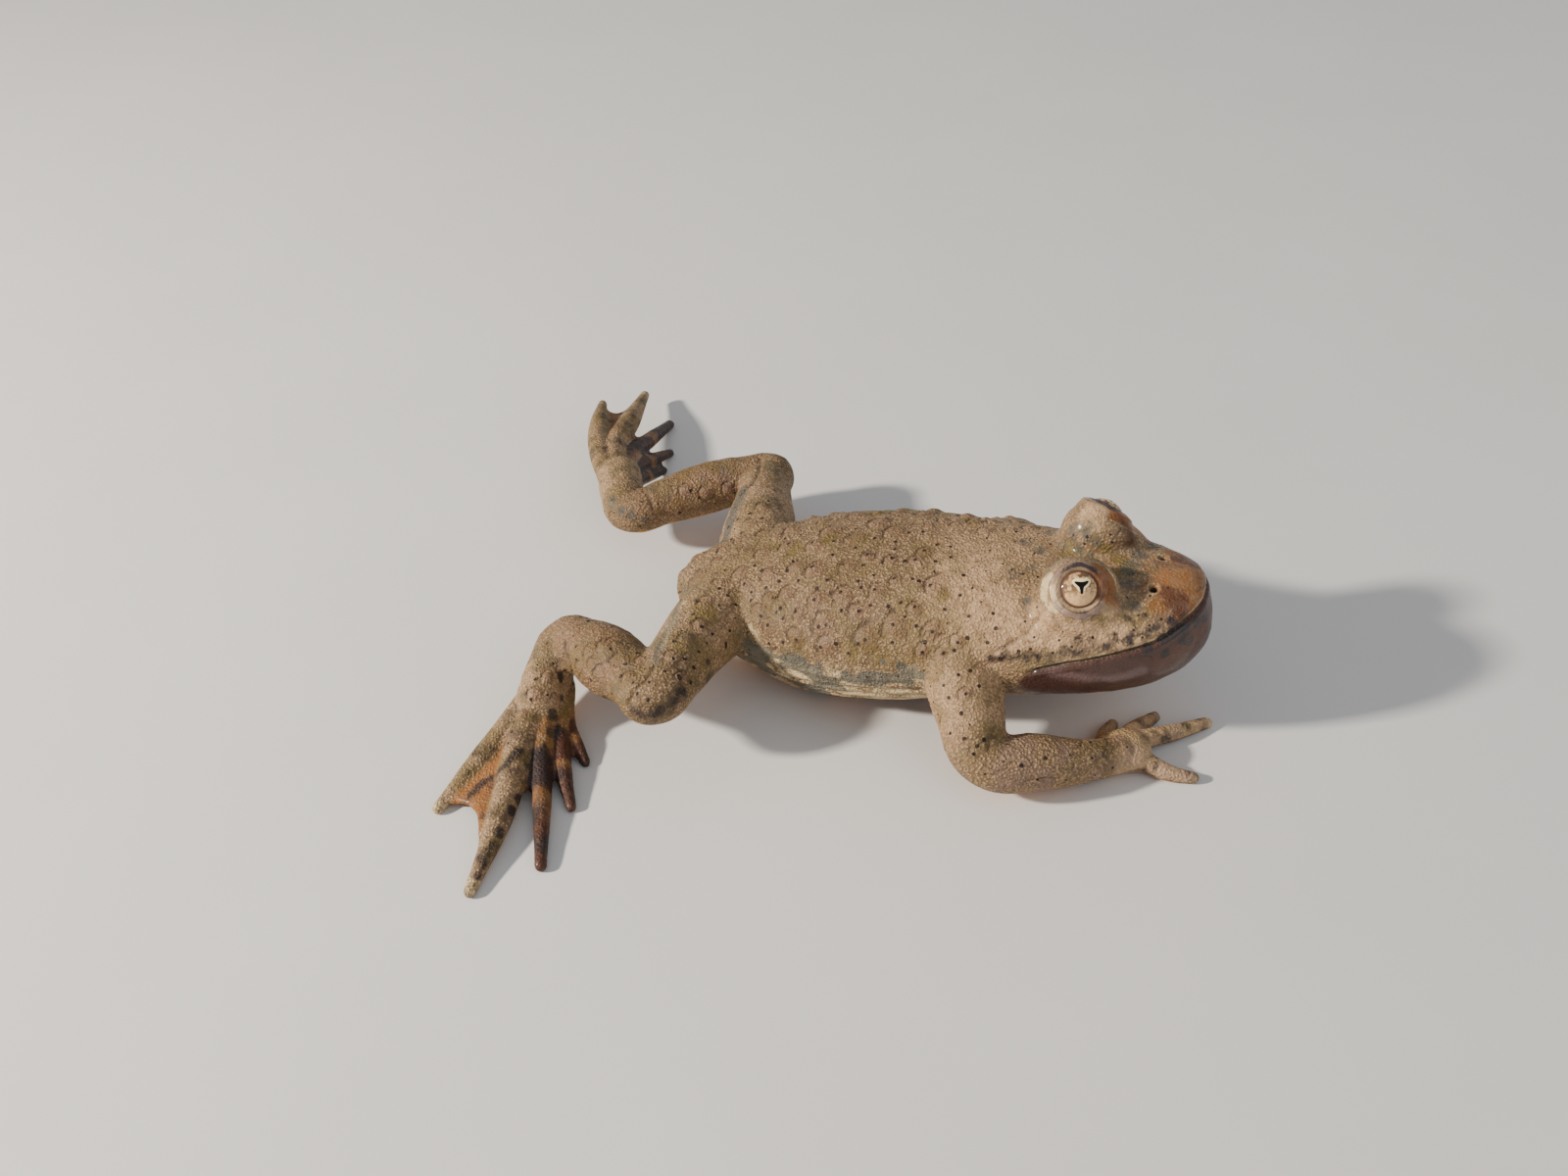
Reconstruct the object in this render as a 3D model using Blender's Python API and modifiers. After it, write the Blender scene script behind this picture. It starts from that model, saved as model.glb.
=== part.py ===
"""A fire bellied toad at life size, still, lying with its chest propped on its forearms and its hind legs out.

The flesh is made whole and then parted. A lofted trunk with balls for the lids and the muscles, and a tube for
each limb, are joined by a voxel remesh, smoothed, given warts and a mouth, and cut into named nodes with thin
sheets and discs. Hands and feet are made in the same way on a finer grid. Lengths are in millimetres until the
last step, which scales the finished meshes to metres. The toad faces +X, its left is +Y, and it rests on z = 0.
"""

import math
import random

import bmesh
import bpy
import numpy as np
from mathutils import Matrix, Vector

MM_TO_M = 0.001
GAP = 0.3                    # between two nodes that meet
FLESH_VOXEL = 0.36
DIGIT_VOXEL = 0.25
FLESH_TRIANGLES = 5600
HAND_TRIANGLES = 520
FOOT_TRIANGLES = 900

# The spine starts at the vent and its pitch grows steadily towards the snout.
VENT_X = -22.5
VENT_HEIGHT = 5.0
TRUNK_LENGTH = 45.0
VENT_PITCH = math.radians(6.0)
SNOUT_PITCH = math.radians(12.0)
PITCH_RATE = (SNOUT_PITCH - VENT_PITCH) / TRUNK_LENGTH

# Trunk sections with the spine straight: place along it, half width, height of the back over the spine, depth
# of the belly under it, and height of the widest level.
TRUNK = (
    (22.7, 1.4, 1.3, 2.2, -0.3),
    (22.1, 3.0, 2.2, 3.8, -0.3),
    (20.7, 4.7, 2.8, 5.1, -0.5),
    (18.4, 6.2, 3.3, 5.9, -0.6),
    (15.2, 7.2, 3.7, 6.3, -0.6),
    (11.6, 7.8, 4.1, 6.2, -0.6),
    (8.0, 8.1, 4.5, 6.0, -0.5),
    (4.0, 8.8, 5.1, 6.3, -0.5),
    (0.0, 9.3, 5.4, 6.7, -0.6),
    (-4.0, 9.4, 5.6, 7.1, -0.7),
    (-8.0, 9.1, 5.5, 7.3, -0.7),
    (-12.0, 8.0, 5.0, 6.8, -0.6),
    (-15.5, 6.3, 4.3, 5.7, -0.4),
    (-18.6, 4.7, 3.5, 4.2, -0.2),
    (-21.2, 3.3, 2.5, 2.6, 0.0),
    (-22.6, 1.6, 1.3, 1.2, 0.2),
)
SECTION_POINTS = 20
SECTION_POWER = 2.25         # 2 is an ellipse, more is squarer

EYE_RADIUS = 2.1
EYE_CENTRE = Vector((14.1, 3.95, 4.4))
EYE_GAZE = Vector((0.46, 0.70, 0.54)).normalized()
BULGE_RADII = (3.15, 2.55, 2.6)
BROW_RADII = (3.6, 2.9, 2.2)
BROW_DROP = 1.3              # of the swelling that carries the bulge, under the eye's middle
BULGE_SINK = 0.5             # of the bulge's middle behind the eye's, along its gaze
BULGE_FORWARD = 0.4
LID_RING = 2.0
LID_THICKNESS = 0.46
LID_RISE = 1.15              # of the lid's ring from the eye's centre, along its gaze
LID_OPENING = 1.65
NOSTRIL = Vector((19.6, 1.7, 3.15))
NOSTRIL_RADIUS = 0.38

# The mouth's line from in front of the snout to the corner and down behind the jaw, spine straight.
MOUTH_LINE = (
    (25.0, -0.15), (22.0, -0.15), (18.0, -0.20), (14.0, -0.40), (11.4, -0.85),
    (10.0, -1.7), (9.3, -3.2), (9.0, -5.2), (8.9, -9.0),
)
MOUTH_REACH = 8.7            # of the mouth's cut to either side, which stops short of the forearms
NECK_X = 8.2
ELBOW_MARGIN = 1.4           # of a folded joint's cut past its crease
KNEE_MARGIN = 2.4
ANKLE_MARGIN = 1.6
TIP_MARGIN = 1.0             # and past its tip

# Each limb is a line of points with a radius at each, in the pose: x, y, z, radius.
ARMS = {
    "right": ((4.7, -3.2, 8.6, 3.0), (4.7, -6.6, 7.8, 3.0), (6.3, -9.9, 5.7, 2.7), (8.0, -12.1, 3.6, 2.25),
              (11.5, -10.9, 2.9, 2.25), (15.2, -8.9, 2.1, 1.7), (17.0, -7.3, 1.6, 1.5)),
    "left": ((4.7, 3.2, 8.8, 3.0), (4.5, 6.8, 8.1, 3.0), (5.2, 10.2, 5.8, 2.7), (6.3, 12.5, 3.6, 2.25),
             (9.9, 12.2, 2.9, 2.25), (13.3, 11.2, 2.1, 1.7), (15.1, 10.5, 1.6, 1.5)),
}
HIND_LEGS = {
    "right": ((-14.4, -1.0, 6.4, 3.0), (-16.5, -4.6, 6.5, 3.4), (-17.2, -9.4, 7.0, 3.0),
              (-17.2, -13.4, 7.4, 2.6), (-17.5, -16.0, 7.3, 2.2), (-20.0, -14.3, 6.9, 2.4),
              (-23.4, -12.2, 6.3, 2.9), (-26.8, -10.4, 5.6, 2.45), (-29.3, -9.4, 4.8, 2.05),
              (-29.7, -11.8, 4.0, 2.05), (-29.4, -14.8, 3.1, 2.0)),
    "left": ((-14.4, 1.0, 6.4, 3.0), (-16.8, 4.4, 6.3, 3.4), (-18.5, 9.2, 6.2, 3.0),
             (-19.8, 13.6, 6.0, 2.3), (-20.3, 15.9, 5.8, 2.0), (-22.6, 14.9, 5.6, 2.2),
             (-25.9, 13.0, 5.3, 2.45), (-29.2, 10.5, 5.0, 2.15), (-31.7, 8.6, 4.8, 2.0),
             (-33.8, 11.0, 4.8, 2.1), (-35.4, 13.7, 4.6, 2.1)),
}
FINGERS = {
    "right": (
        ((16.3, -7.6, 1.5, 0.95), (15.7, -5.0, 1.0, 0.7), (15.9, -3.0, 0.40, 0.5)),
        ((16.8, -7.4, 1.5, 1.0), (17.6, -3.9, 1.0, 0.72), (18.9, -1.3, 0.40, 0.5)),
        ((17.0, -7.4, 1.6, 1.1), (18.7, -4.7, 1.1, 0.85), (20.9, -2.8, 0.75, 0.68), (22.9, -0.9, 0.40, 0.5)),
        ((16.9, -7.9, 1.5, 1.05), (18.9, -6.9, 1.0, 0.85), (21.0, -7.2, 0.65, 0.68), (22.9, -7.0, 0.40, 0.5)),
    ),
    "left": (
        ((14.4, 10.3, 1.5, 0.95), (14.0, 8.5, 1.0, 0.7), (14.3, 6.9, 0.40, 0.5)),
        ((14.9, 10.2, 1.5, 1.0), (15.7, 8.8, 1.0, 0.72), (17.2, 7.6, 0.40, 0.5)),
        ((15.2, 10.4, 1.6, 1.1), (16.7, 9.9, 1.1, 0.85), (18.4, 9.4, 0.75, 0.68), (20.1, 9.3, 0.40, 0.5)),
        ((15.1, 10.8, 1.5, 1.05), (16.5, 11.3, 1.0, 0.85), (18.2, 12.3, 0.65, 0.68), (19.7, 12.9, 0.40, 0.5)),
    ),
}
TOES = {
    "right": (
        ((-28.4, -12.4, 2.6, 0.9), (-27.0, -15.3, 1.2, 0.75), (-25.3, -17.0, 0.8, 0.6), (-24.0, -18.2, 0.36, 0.45)),
        ((-28.7, -12.6, 2.9, 0.95), (-27.0, -16.6, 1.4, 0.85), (-24.7, -20.4, 0.8, 0.7), (-22.9, -22.9, 0.36, 0.45)),
        ((-29.0, -12.8, 3.3, 1.0), (-27.8, -18.0, 1.8, 0.95), (-25.2, -23.3, 0.9, 0.8), (-22.4, -29.0, 0.40, 0.5)),
        ((-29.4, -12.8, 3.6, 1.05), (-29.2, -18.7, 2.2, 1.2), (-27.5, -25.6, 1.2, 1.05), (-26.5, -32.8, 0.40, 0.5)),
        ((-30.1, -12.5, 3.5, 1.0), (-31.1, -18.0, 2.1, 1.1), (-32.2, -22.0, 1.2, 0.95), (-33.4, -26.1, 0.40, 0.5)),
    ),
    "left": (
        ((-34.0, 12.0, 3.9, 0.9), (-35.0, 15.9, 2.6, 0.75), (-34.9, 18.7, 1.4, 0.6), (-34.8, 21.0, 0.36, 0.45)),
        ((-34.2, 12.2, 4.1, 0.95), (-35.7, 17.0, 3.2, 0.85), (-35.6, 20.9, 1.7, 0.7), (-35.4, 24.0, 0.36, 0.45)),
        ((-34.6, 12.4, 4.4, 1.0), (-36.6, 18.0, 3.8, 0.95), (-37.1, 23.4, 2.2, 0.8), (-37.6, 28.8, 0.40, 0.5)),
        ((-35.0, 12.2, 4.7, 1.05), (-38.2, 18.1, 4.5, 1.2), (-39.7, 24.6, 3.4, 1.05), (-41.5, 31.4, 1.9, 0.5)),
        ((-35.6, 12.0, 4.8, 1.0), (-39.6, 17.6, 4.9, 1.1), (-41.6, 21.6, 4.7, 0.95), (-43.3, 25.6, 4.2, 0.5)),
    ),
}
# How far along the two digits the web reaches, and how deep its free edge sags, digit by digit from the first.
TOE_WEBS = ((0.68, 0.62, 0.20), (0.66, 0.60, 0.20), (0.70, 0.72, 0.22), (0.90, 0.95, 0.14))
WEB_THICKNESS = 0.55
PALM_RADII = (2.0, 2.1, 1.2)

WART_SEED = 11
WART_COUNT = 80
WART_HEIGHT = 0.30


def clear_scene():
    """Leaves an empty scene."""
    for obj in list(bpy.data.objects):
        bpy.data.objects.remove(obj)


def make_collection(name):
    """A new collection in the scene."""
    made = bpy.data.collections.new(name)
    bpy.context.scene.collection.children.link(made)
    return made


def bend(points):
    """Points given with the spine straight, moved to where the curved spine carries them."""
    points = np.asarray(points, float).reshape(-1, 3)
    along = points[:, 0] - VENT_X
    pitch = VENT_PITCH + PITCH_RATE * along
    spine_x = VENT_X + (np.sin(pitch) - math.sin(VENT_PITCH)) / PITCH_RATE
    spine_z = VENT_HEIGHT + (math.cos(VENT_PITCH) - np.cos(pitch)) / PITCH_RATE
    x = spine_x - points[:, 2] * np.sin(pitch)
    z = spine_z + points[:, 2] * np.cos(pitch)
    return np.stack([x, points[:, 1], z], axis=1)


def bent(point):
    """One point of the straight spine's frame in the pose."""
    return Vector(bend(point)[0])


def pitch_at(x):
    """The spine's pitch at a place along it."""
    return VENT_PITCH + PITCH_RATE * (x - VENT_X)


def turned(direction, x):
    """A direction of the straight spine's frame in the pose, at a place along the spine."""
    return Matrix.Rotation(-pitch_at(x), 3, "Y") @ Vector(direction)


def read_points(mesh):
    """A mesh's vertices as an array."""
    points = np.empty(len(mesh.vertices) * 3)
    mesh.vertices.foreach_get("co", points)
    return points.reshape(-1, 3)


def write_points(mesh, points):
    """Puts an array back as a mesh's vertices."""
    mesh.vertices.foreach_set("co", np.ascontiguousarray(points).ravel())
    mesh.update()


def read_normals(mesh):
    """A mesh's vertex normals as an array."""
    normals = np.empty(len(mesh.vertices) * 3)
    mesh.vertex_normals.foreach_get("vector", normals)
    return normals.reshape(-1, 3)


def make_object(name, bm, collection):
    """An object from a bmesh, its faces turned out."""
    bmesh.ops.recalc_face_normals(bm, faces=bm.faces)
    mesh = bpy.data.meshes.new(name)
    bm.to_mesh(mesh)
    bm.free()
    obj = bpy.data.objects.new(name, mesh)
    collection.objects.link(obj)
    return obj


def apply_modifiers(obj):
    """Replaces an object's mesh by what its modifiers make of it."""
    graph = bpy.context.evaluated_depsgraph_get()
    mesh = bpy.data.meshes.new_from_object(obj.evaluated_get(graph))
    obj.modifiers.clear()
    obj.data = mesh
    return obj


def make_ball(name, centre, radii, collection, segments=20):
    """An ellipsoid with the given half axes."""
    bm = bmesh.new()
    bmesh.ops.create_uvsphere(bm, u_segments=segments, v_segments=segments * 2 // 3, radius=1.0)
    place = Matrix.Translation(centre) @ Matrix.Diagonal((*radii, 1.0))
    bmesh.ops.transform(bm, matrix=place, verts=bm.verts)
    return make_object(name, bm, collection)


def make_ring(name, centre, axis, radius, thickness, collection):
    """A torus round an axis."""
    bm = bmesh.new()
    rows = []
    turn = axis.to_track_quat("Z", "Y").to_matrix().to_4x4()
    for i in range(32):
        around = 2 * math.pi * i / 32
        row = []
        for j in range(12):
            across = 2 * math.pi * j / 12
            reach = radius + thickness * math.cos(across)
            point = Vector((reach * math.cos(around), reach * math.sin(around), thickness * math.sin(across)))
            row.append(bm.verts.new(centre + (turn @ point)))
        rows.append(row)
    for i in range(32):
        for j in range(12):
            first, second = rows[i], rows[(i + 1) % 32]
            bm.faces.new((first[j], second[j], second[(j + 1) % 12], first[(j + 1) % 12]))
    return make_object(name, bm, collection)


def make_tube(name, line, collection):
    """A closed tube through points that each have a radius, its ends rounded by balls."""
    curve = bpy.data.curves.new(name, "CURVE")
    curve.dimensions = "3D"
    curve.resolution_u = 8
    curve.bevel_depth = 1.0
    curve.bevel_resolution = 5
    curve.use_fill_caps = True
    spline = curve.splines.new("BEZIER")
    spline.radius_interpolation = "CARDINAL"
    spline.bezier_points.add(len(line) - 1)
    for knot, (x, y, z, radius) in zip(spline.bezier_points, line):
        knot.co = (x, y, z)
        knot.radius = radius
        knot.handle_left_type = "AUTO"
        knot.handle_right_type = "AUTO"
    helper = bpy.data.objects.new(name, curve)
    collection.objects.link(helper)
    graph = bpy.context.evaluated_depsgraph_get()
    bm = bmesh.new()
    mesh = bpy.data.meshes.new_from_object(helper.evaluated_get(graph))
    bm.from_mesh(mesh)
    bpy.data.objects.remove(helper)
    bmesh.ops.remove_doubles(bm, verts=bm.verts, dist=1e-4)
    for x, y, z, radius in (line[0], line[-1]):
        bmesh.ops.create_uvsphere(
            bm, u_segments=20, v_segments=12, radius=radius, matrix=Matrix.Translation((x, y, z))
        )
    return make_object(name, bm, collection)


def section_ring(half_width, top, depth, level):
    """The outline of a trunk section as (y, z) pairs, anticlockwise seen from the front."""
    ring = []
    for i in range(SECTION_POINTS):
        angle = 2 * math.pi * i / SECTION_POINTS
        across, up = math.cos(angle), math.sin(angle)
        across = math.copysign(abs(across) ** (2 / SECTION_POWER), across)
        up = math.copysign(abs(up) ** (2 / SECTION_POWER), up)
        reach = top - level if up > 0 else depth + level
        ring.append((half_width * across, level + reach * up))
    return ring


def make_trunk(collection):
    """The trunk and head as one closed loft, subdivided, with the spine still straight."""
    bm = bmesh.new()
    rings = []
    for x, half_width, top, depth, level in TRUNK:
        outline = section_ring(half_width, top, depth, level)
        rings.append([bm.verts.new((x, y, z)) for y, z in outline])
    for front, back in zip(rings, rings[1:]):
        for i in range(SECTION_POINTS):
            j = (i + 1) % SECTION_POINTS
            bm.faces.new((front[i], front[j], back[j], back[i]))
    bm.faces.new(rings[0])
    bm.faces.new(rings[-1])
    trunk = make_object("trunk_form", bm, collection)
    rounding = trunk.modifiers.new("rounding", "SUBSURF")
    rounding.levels = 2
    rounding.render_levels = 2
    return apply_modifiers(trunk)


def mirrored(point, side):
    """A point of the toad's left given for either side."""
    return Vector((point[0], point[1] if side == "left" else -point[1], point[2]))


def make_lids(side, collection):
    """The bulge round one eye and the raised ring of its lids, with the spine straight."""
    centre = mirrored(EYE_CENTRE, side)
    gaze = mirrored(EYE_GAZE, side)
    bulge_at = centre - gaze * BULGE_SINK + Vector((BULGE_FORWARD, 0, 0))
    bulge = make_ball(f"{side}_lid_form", bulge_at, BULGE_RADII, collection)
    brow_at = centre - Vector((0, 0, BROW_DROP))
    brow = make_ball(f"{side}_brow_form", brow_at, BROW_RADII, collection)
    rim_at = centre + gaze * LID_RISE
    rim = make_ring(f"{side}_rim_form", rim_at, gaze, LID_RING, LID_THICKNESS, collection)
    return [bulge, brow, rim]


def make_web(name, first, second, reach, collection):
    """A thin sheet between two digits, with a free edge that sags between them."""
    first_line, second_line = digit_line(first), digit_line(second)
    reach_first, reach_second, sag = reach
    bm = bmesh.new()
    rows = []
    for i in range(13):
        along = i / 12
        row = []
        for j in range(7):
            across = j / 6
            slack = 1 - sag * math.sin(math.pi * across) * along
            a = point_on(first_line, along * reach_first * slack)
            b = point_on(second_line, along * reach_second * slack)
            row.append(a.lerp(b, across))
        rows.append(row)
    up = Vector((0, 0, WEB_THICKNESS / 2))
    top = [[bm.verts.new(point + up) for point in row] for row in rows]
    low = [[bm.verts.new(point - up) for point in row] for row in rows]
    for i in range(12):
        for j in range(6):
            bm.faces.new((top[i][j], top[i][j + 1], top[i + 1][j + 1], top[i + 1][j]))
            bm.faces.new((low[i][j], low[i + 1][j], low[i + 1][j + 1], low[i][j + 1]))
    edge = [(i, 0) for i in range(12)] + [(12, j) for j in range(6)]
    edge += [(i, 6) for i in range(12, 0, -1)] + [(0, j) for j in range(6, 0, -1)]
    for (i, j), (k, m) in zip(edge, edge[1:] + edge[:1]):
        bm.faces.new((top[i][j], top[k][m], low[k][m], low[i][j]))
    return make_object(name, bm, collection)


def digit_line(digit):
    """A digit's points as vectors."""
    return [Vector(knot[:3]) for knot in digit]


def point_on(line, share):
    """The point at a share of a line's length."""
    lengths = [(b - a).length for a, b in zip(line, line[1:])]
    left = share * sum(lengths)
    for (a, b), length in zip(zip(line, line[1:]), lengths):
        if left <= length:
            return a.lerp(b, left / length)
        left -= length
    return line[-1].copy()


def fuse(name, forms, voxel, rounds, collection):
    """Joins closed forms into one skin with a voxel remesh and smooths it."""
    bm = bmesh.new()
    for form in forms:
        bm.from_mesh(form.data)
        bpy.data.objects.remove(form)
    skin = make_object(name, bm, collection)
    remesh = skin.modifiers.new("one_skin", "REMESH")
    remesh.mode = "VOXEL"
    remesh.voxel_size = voxel
    smooth = skin.modifiers.new("smooth", "SMOOTH")
    smooth.factor = 0.5
    smooth.iterations = rounds
    apply_modifiers(skin)
    return keep_largest(skin)


def pieces_of(bm):
    """The separate pieces of a bmesh, each a list of faces."""
    left = set(bm.faces)
    pieces = []
    while left:
        queue = [left.pop()]
        piece = []
        while queue:
            face = queue.pop()
            piece.append(face)
            for edge in face.edges:
                for other in edge.link_faces:
                    if other in left:
                        left.discard(other)
                        queue.append(other)
        pieces.append(piece)
    return pieces


def keep_piece(obj, chosen):
    """Deletes all pieces of a mesh but the one with the least value of a function of its faces."""
    bm = bmesh.new()
    bm.from_mesh(obj.data)
    pieces = sorted(pieces_of(bm), key=chosen)
    extra = [face for piece in pieces[1:] for face in piece]
    bmesh.ops.delete(bm, geom=extra, context="FACES")
    bm.to_mesh(obj.data)
    bm.free()
    return obj


def keep_largest(obj):
    """Keeps the piece of a mesh with the most surface."""
    return keep_piece(obj, lambda piece: -sum(face.calc_area() for face in piece))


def keep_nearest(obj, anchor):
    """Keeps the piece of a mesh whose middle is nearest to a point, of those larger than a chip."""

    def distance(piece):
        area = sum(face.calc_area() for face in piece)
        if area < 4.0:
            return 1e6
        middle = sum((face.calc_center_median() * face.calc_area() for face in piece), Vector()) / area
        return (middle - anchor).length

    keep_piece(obj, distance)
    points = read_points(obj.data)
    if np.linalg.norm(points - np.array(anchor), axis=1).min() > 8.0:
        raise ValueError(f"{obj.name} has no piece near its anchor")
    return obj


def thin_out(obj, triangles):
    """Reduces a mesh to about this many triangles."""
    obj.data.calc_loop_triangles()
    reduce = obj.modifiers.new("thin_out", "DECIMATE")
    reduce.ratio = min(1.0, triangles / len(obj.data.loop_triangles))
    reduce.use_collapse_triangulate = True
    return apply_modifiers(obj)


def subtract(obj, cutter):
    """Cuts a closed cutter out of a mesh."""
    cut = obj.modifiers.new("cut", "BOOLEAN")
    cut.operation = "DIFFERENCE"
    cut.solver = "MANIFOLD"
    cut.object = cutter
    return apply_modifiers(obj)


def copy_of(obj, name, collection):
    """A second object with its own mesh."""
    made = bpy.data.objects.new(name, obj.data.copy())
    collection.objects.link(made)
    return made


def raise_warts(obj):
    """Pushes low round warts out of the back, the larger ones in the middle."""
    points = read_points(obj.data)
    normals = read_normals(obj.data)
    rng = random.Random(WART_SEED)
    back = np.flatnonzero((normals[:, 2] > 0.35) & (points[:, 0] > -21.5) & (points[:, 0] < 11.0)
                          & (np.abs(points[:, 1]) < 9.5) & (points[:, 2] > 6.0))
    centres = []
    for _ in range(4000):
        if len(centres) == WART_COUNT:
            break
        spot = points[back[rng.randrange(len(back))]]
        radius = rng.uniform(0.8, 1.25)
        if all(np.linalg.norm(spot - other) > 1.25 * (radius + size) for other, size in centres):
            centres.append((spot, radius))
    rise = np.zeros(len(points))
    for spot, radius in centres:
        share = np.clip(1 - (np.linalg.norm(points - spot, axis=1) / radius) ** 2, 0, 1)
        rise = np.maximum(rise, WART_HEIGHT * share)
    write_points(obj.data, points + normals * rise[:, None])


def make_disc(name, centre, normal, radius, collection):
    """A thin disc that parts a limb."""
    bm = bmesh.new()
    place = Matrix.Translation(centre) @ Vector(normal).to_track_quat("Z", "Y").to_matrix().to_4x4()
    bmesh.ops.create_cone(
        bm, cap_ends=True, segments=31, radius1=radius, radius2=radius, depth=GAP, matrix=place
    )
    return make_object(name, bm, collection)


def make_opening(name, centre, gaze, collection):
    """A rod along the gaze that opens the lids."""
    bm = bmesh.new()
    turn = gaze.to_track_quat("Z", "Y").to_matrix().to_4x4()
    place = Matrix.Translation(centre + gaze * 3.0) @ turn
    bmesh.ops.create_cone(
        bm, cap_ends=True, segments=32, radius1=LID_OPENING, radius2=LID_OPENING, depth=6.0, matrix=place
    )
    return make_object(name, bm, collection)


def make_mouth_sheet(collection):
    """The thin curved sheet that parts the lower jaw from the head."""
    line = [Vector((x, 0, z)) for x, z in MOUTH_LINE]
    bm = bmesh.new()
    rows = []
    for i, point in enumerate(line):
        before, after = line[max(i - 1, 0)], line[min(i + 1, len(line) - 1)]
        tangent = (after - before).normalized()
        normal = Vector((-tangent.z, 0, tangent.x)) * GAP / 2
        row = []
        for y in (-MOUTH_REACH, MOUTH_REACH):
            for side in (-1, 1):
                place = bent(point + normal * side)
                row.append(bm.verts.new((place.x, y, place.z)))
        rows.append(row)
    for front, back in zip(rows, rows[1:]):
        for i, j in ((0, 1), (1, 3), (3, 2), (2, 0)):
            bm.faces.new((front[i], front[j], back[j], back[i]))
    for row in (rows[0], rows[-1]):
        bm.faces.new((row[0], row[1], row[3], row[2]))
    return make_object("mouth_sheet", bm, collection)


def make_floor(collection):
    """A block under the floor that leaves flats where the toad rests."""
    bm = bmesh.new()
    place = Matrix.Translation((-10, 0, -10)) @ Matrix.Diagonal((120, 100, 20, 1))
    bmesh.ops.create_cube(bm, size=1.0, matrix=place)
    return make_object("floor_block", bm, collection)


def make_material(name, colour, roughness):
    """A plain material for one node."""
    material = bpy.data.materials.new(name)
    material.use_nodes = True
    shader = material.node_tree.nodes["Principled BSDF"]
    shader.inputs["Base Color"].default_value = (*colour, 1.0)
    shader.inputs["Roughness"].default_value = roughness
    return material


def spine_normal(x):
    """The direction of the spine at a place along it."""
    pitch = pitch_at(x)
    return Vector((math.cos(pitch), 0, math.sin(pitch)))


def toward(line, i, j):
    """The direction from one knot of a limb to another."""
    return (Vector(line[j][:3]) - Vector(line[i][:3])).normalized()


def between(line, i, share):
    """A point between a knot of a limb and the next."""
    return Vector(line[i][:3]).lerp(Vector(line[i + 1][:3]), share)


def fold_cut(name, before, joint, after, margin):
    """A cut through a folded joint, from past its tip to past its crease."""
    first = (Vector(before[:3]) - Vector(joint[:3])).normalized()
    second = (Vector(after[:3]) - Vector(joint[:3])).normalized()
    inner = 1.1 * joint[3] / math.sin(first.angle(second) / 2) + margin
    outer = joint[3] + TIP_MARGIN
    centre = Vector(joint[:3]) + (first + second).normalized() * (inner - outer) / 2
    return name, centre, (first - second).normalized(), (inner + outer) / 2


def limb_cuts():
    """Where each limb is parted: a name, a centre, a normal and a disc radius."""
    cuts = []
    for side, sign in (("right", -1), ("left", 1)):
        arm, leg = ARMS[side], HIND_LEGS[side]
        cuts.append((f"{side}_shoulder", between(arm, 1, 0.62), Vector((0.2, 0.9 * sign, -0.35)), 3.5))
        cuts.append(fold_cut(f"{side}_elbow", arm[2], arm[3], arm[4], ELBOW_MARGIN))
        cuts.append((f"{side}_wrist", Vector(arm[5][:3]), toward(arm, 4, 6), 2.8))
        cuts.append((f"{side}_hip", between(leg, 1, 0.58), Vector((-0.35, 0.93 * sign, 0.05)), 4.1))
        cuts.append(fold_cut(f"{side}_knee", leg[3], leg[4], leg[6], KNEE_MARGIN))
        cuts.append(fold_cut(f"{side}_ankle", leg[7], leg[8], leg[10], ANKLE_MARGIN))
    return cuts


def anchors():
    """A point well inside each flesh node."""
    found = {
        "head": bent((14.5, 0, 1.6)),
        "lower_jaw": bent((15.5, 0, -3.2)),
        "torso": bent((-6.0, 0, -0.5)),
    }
    for side in ("right", "left"):
        arm, leg = ARMS[side], HIND_LEGS[side]
        found[f"{side}_upper_arm"] = Vector(arm[2][:3])
        found[f"{side}_forearm"] = Vector(arm[4][:3])
        found[f"{side}_thigh"] = Vector(leg[2][:3])
        found[f"{side}_shank"] = Vector(leg[6][:3])
    return found


def make_flesh(helpers):
    """The trunk, head and limbs down to the wrists and ankles as one skin."""
    straight = [make_trunk(helpers)]
    for side in ("right", "left"):
        straight += make_lids(side, helpers)
    for form in straight:
        write_points(form.data, bend(read_points(form.data)))
    limbs = []
    for side in ("right", "left"):
        limbs.append(make_tube(f"{side}_arm_form", ARMS[side], helpers))
        limbs.append(make_tube(f"{side}_leg_form", HIND_LEGS[side], helpers))
    flesh = fuse("flesh", straight + limbs, FLESH_VOXEL, 5, helpers)
    raise_warts(flesh)
    return thin_out(flesh, FLESH_TRIANGLES)


def make_hand(side, helpers):
    """A palm with four fingers and the end of the forearm."""
    arm = ARMS[side]
    palm_at = Vector(arm[6][:3]).lerp(Vector(FINGERS[side][2][1][:3]), 0.35)
    forms = [make_tube(f"{side}_wrist_form", arm[4:], helpers)]
    forms.append(make_ball(f"{side}_palm_form", palm_at, PALM_RADII, helpers))
    for i, finger in enumerate(FINGERS[side]):
        forms.append(make_tube(f"{side}_finger_form_{i + 1}", finger, helpers))
    hand = fuse(f"{side}_hand_flesh", forms, DIGIT_VOXEL, 2, helpers)
    return thin_out(hand, HAND_TRIANGLES)


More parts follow.
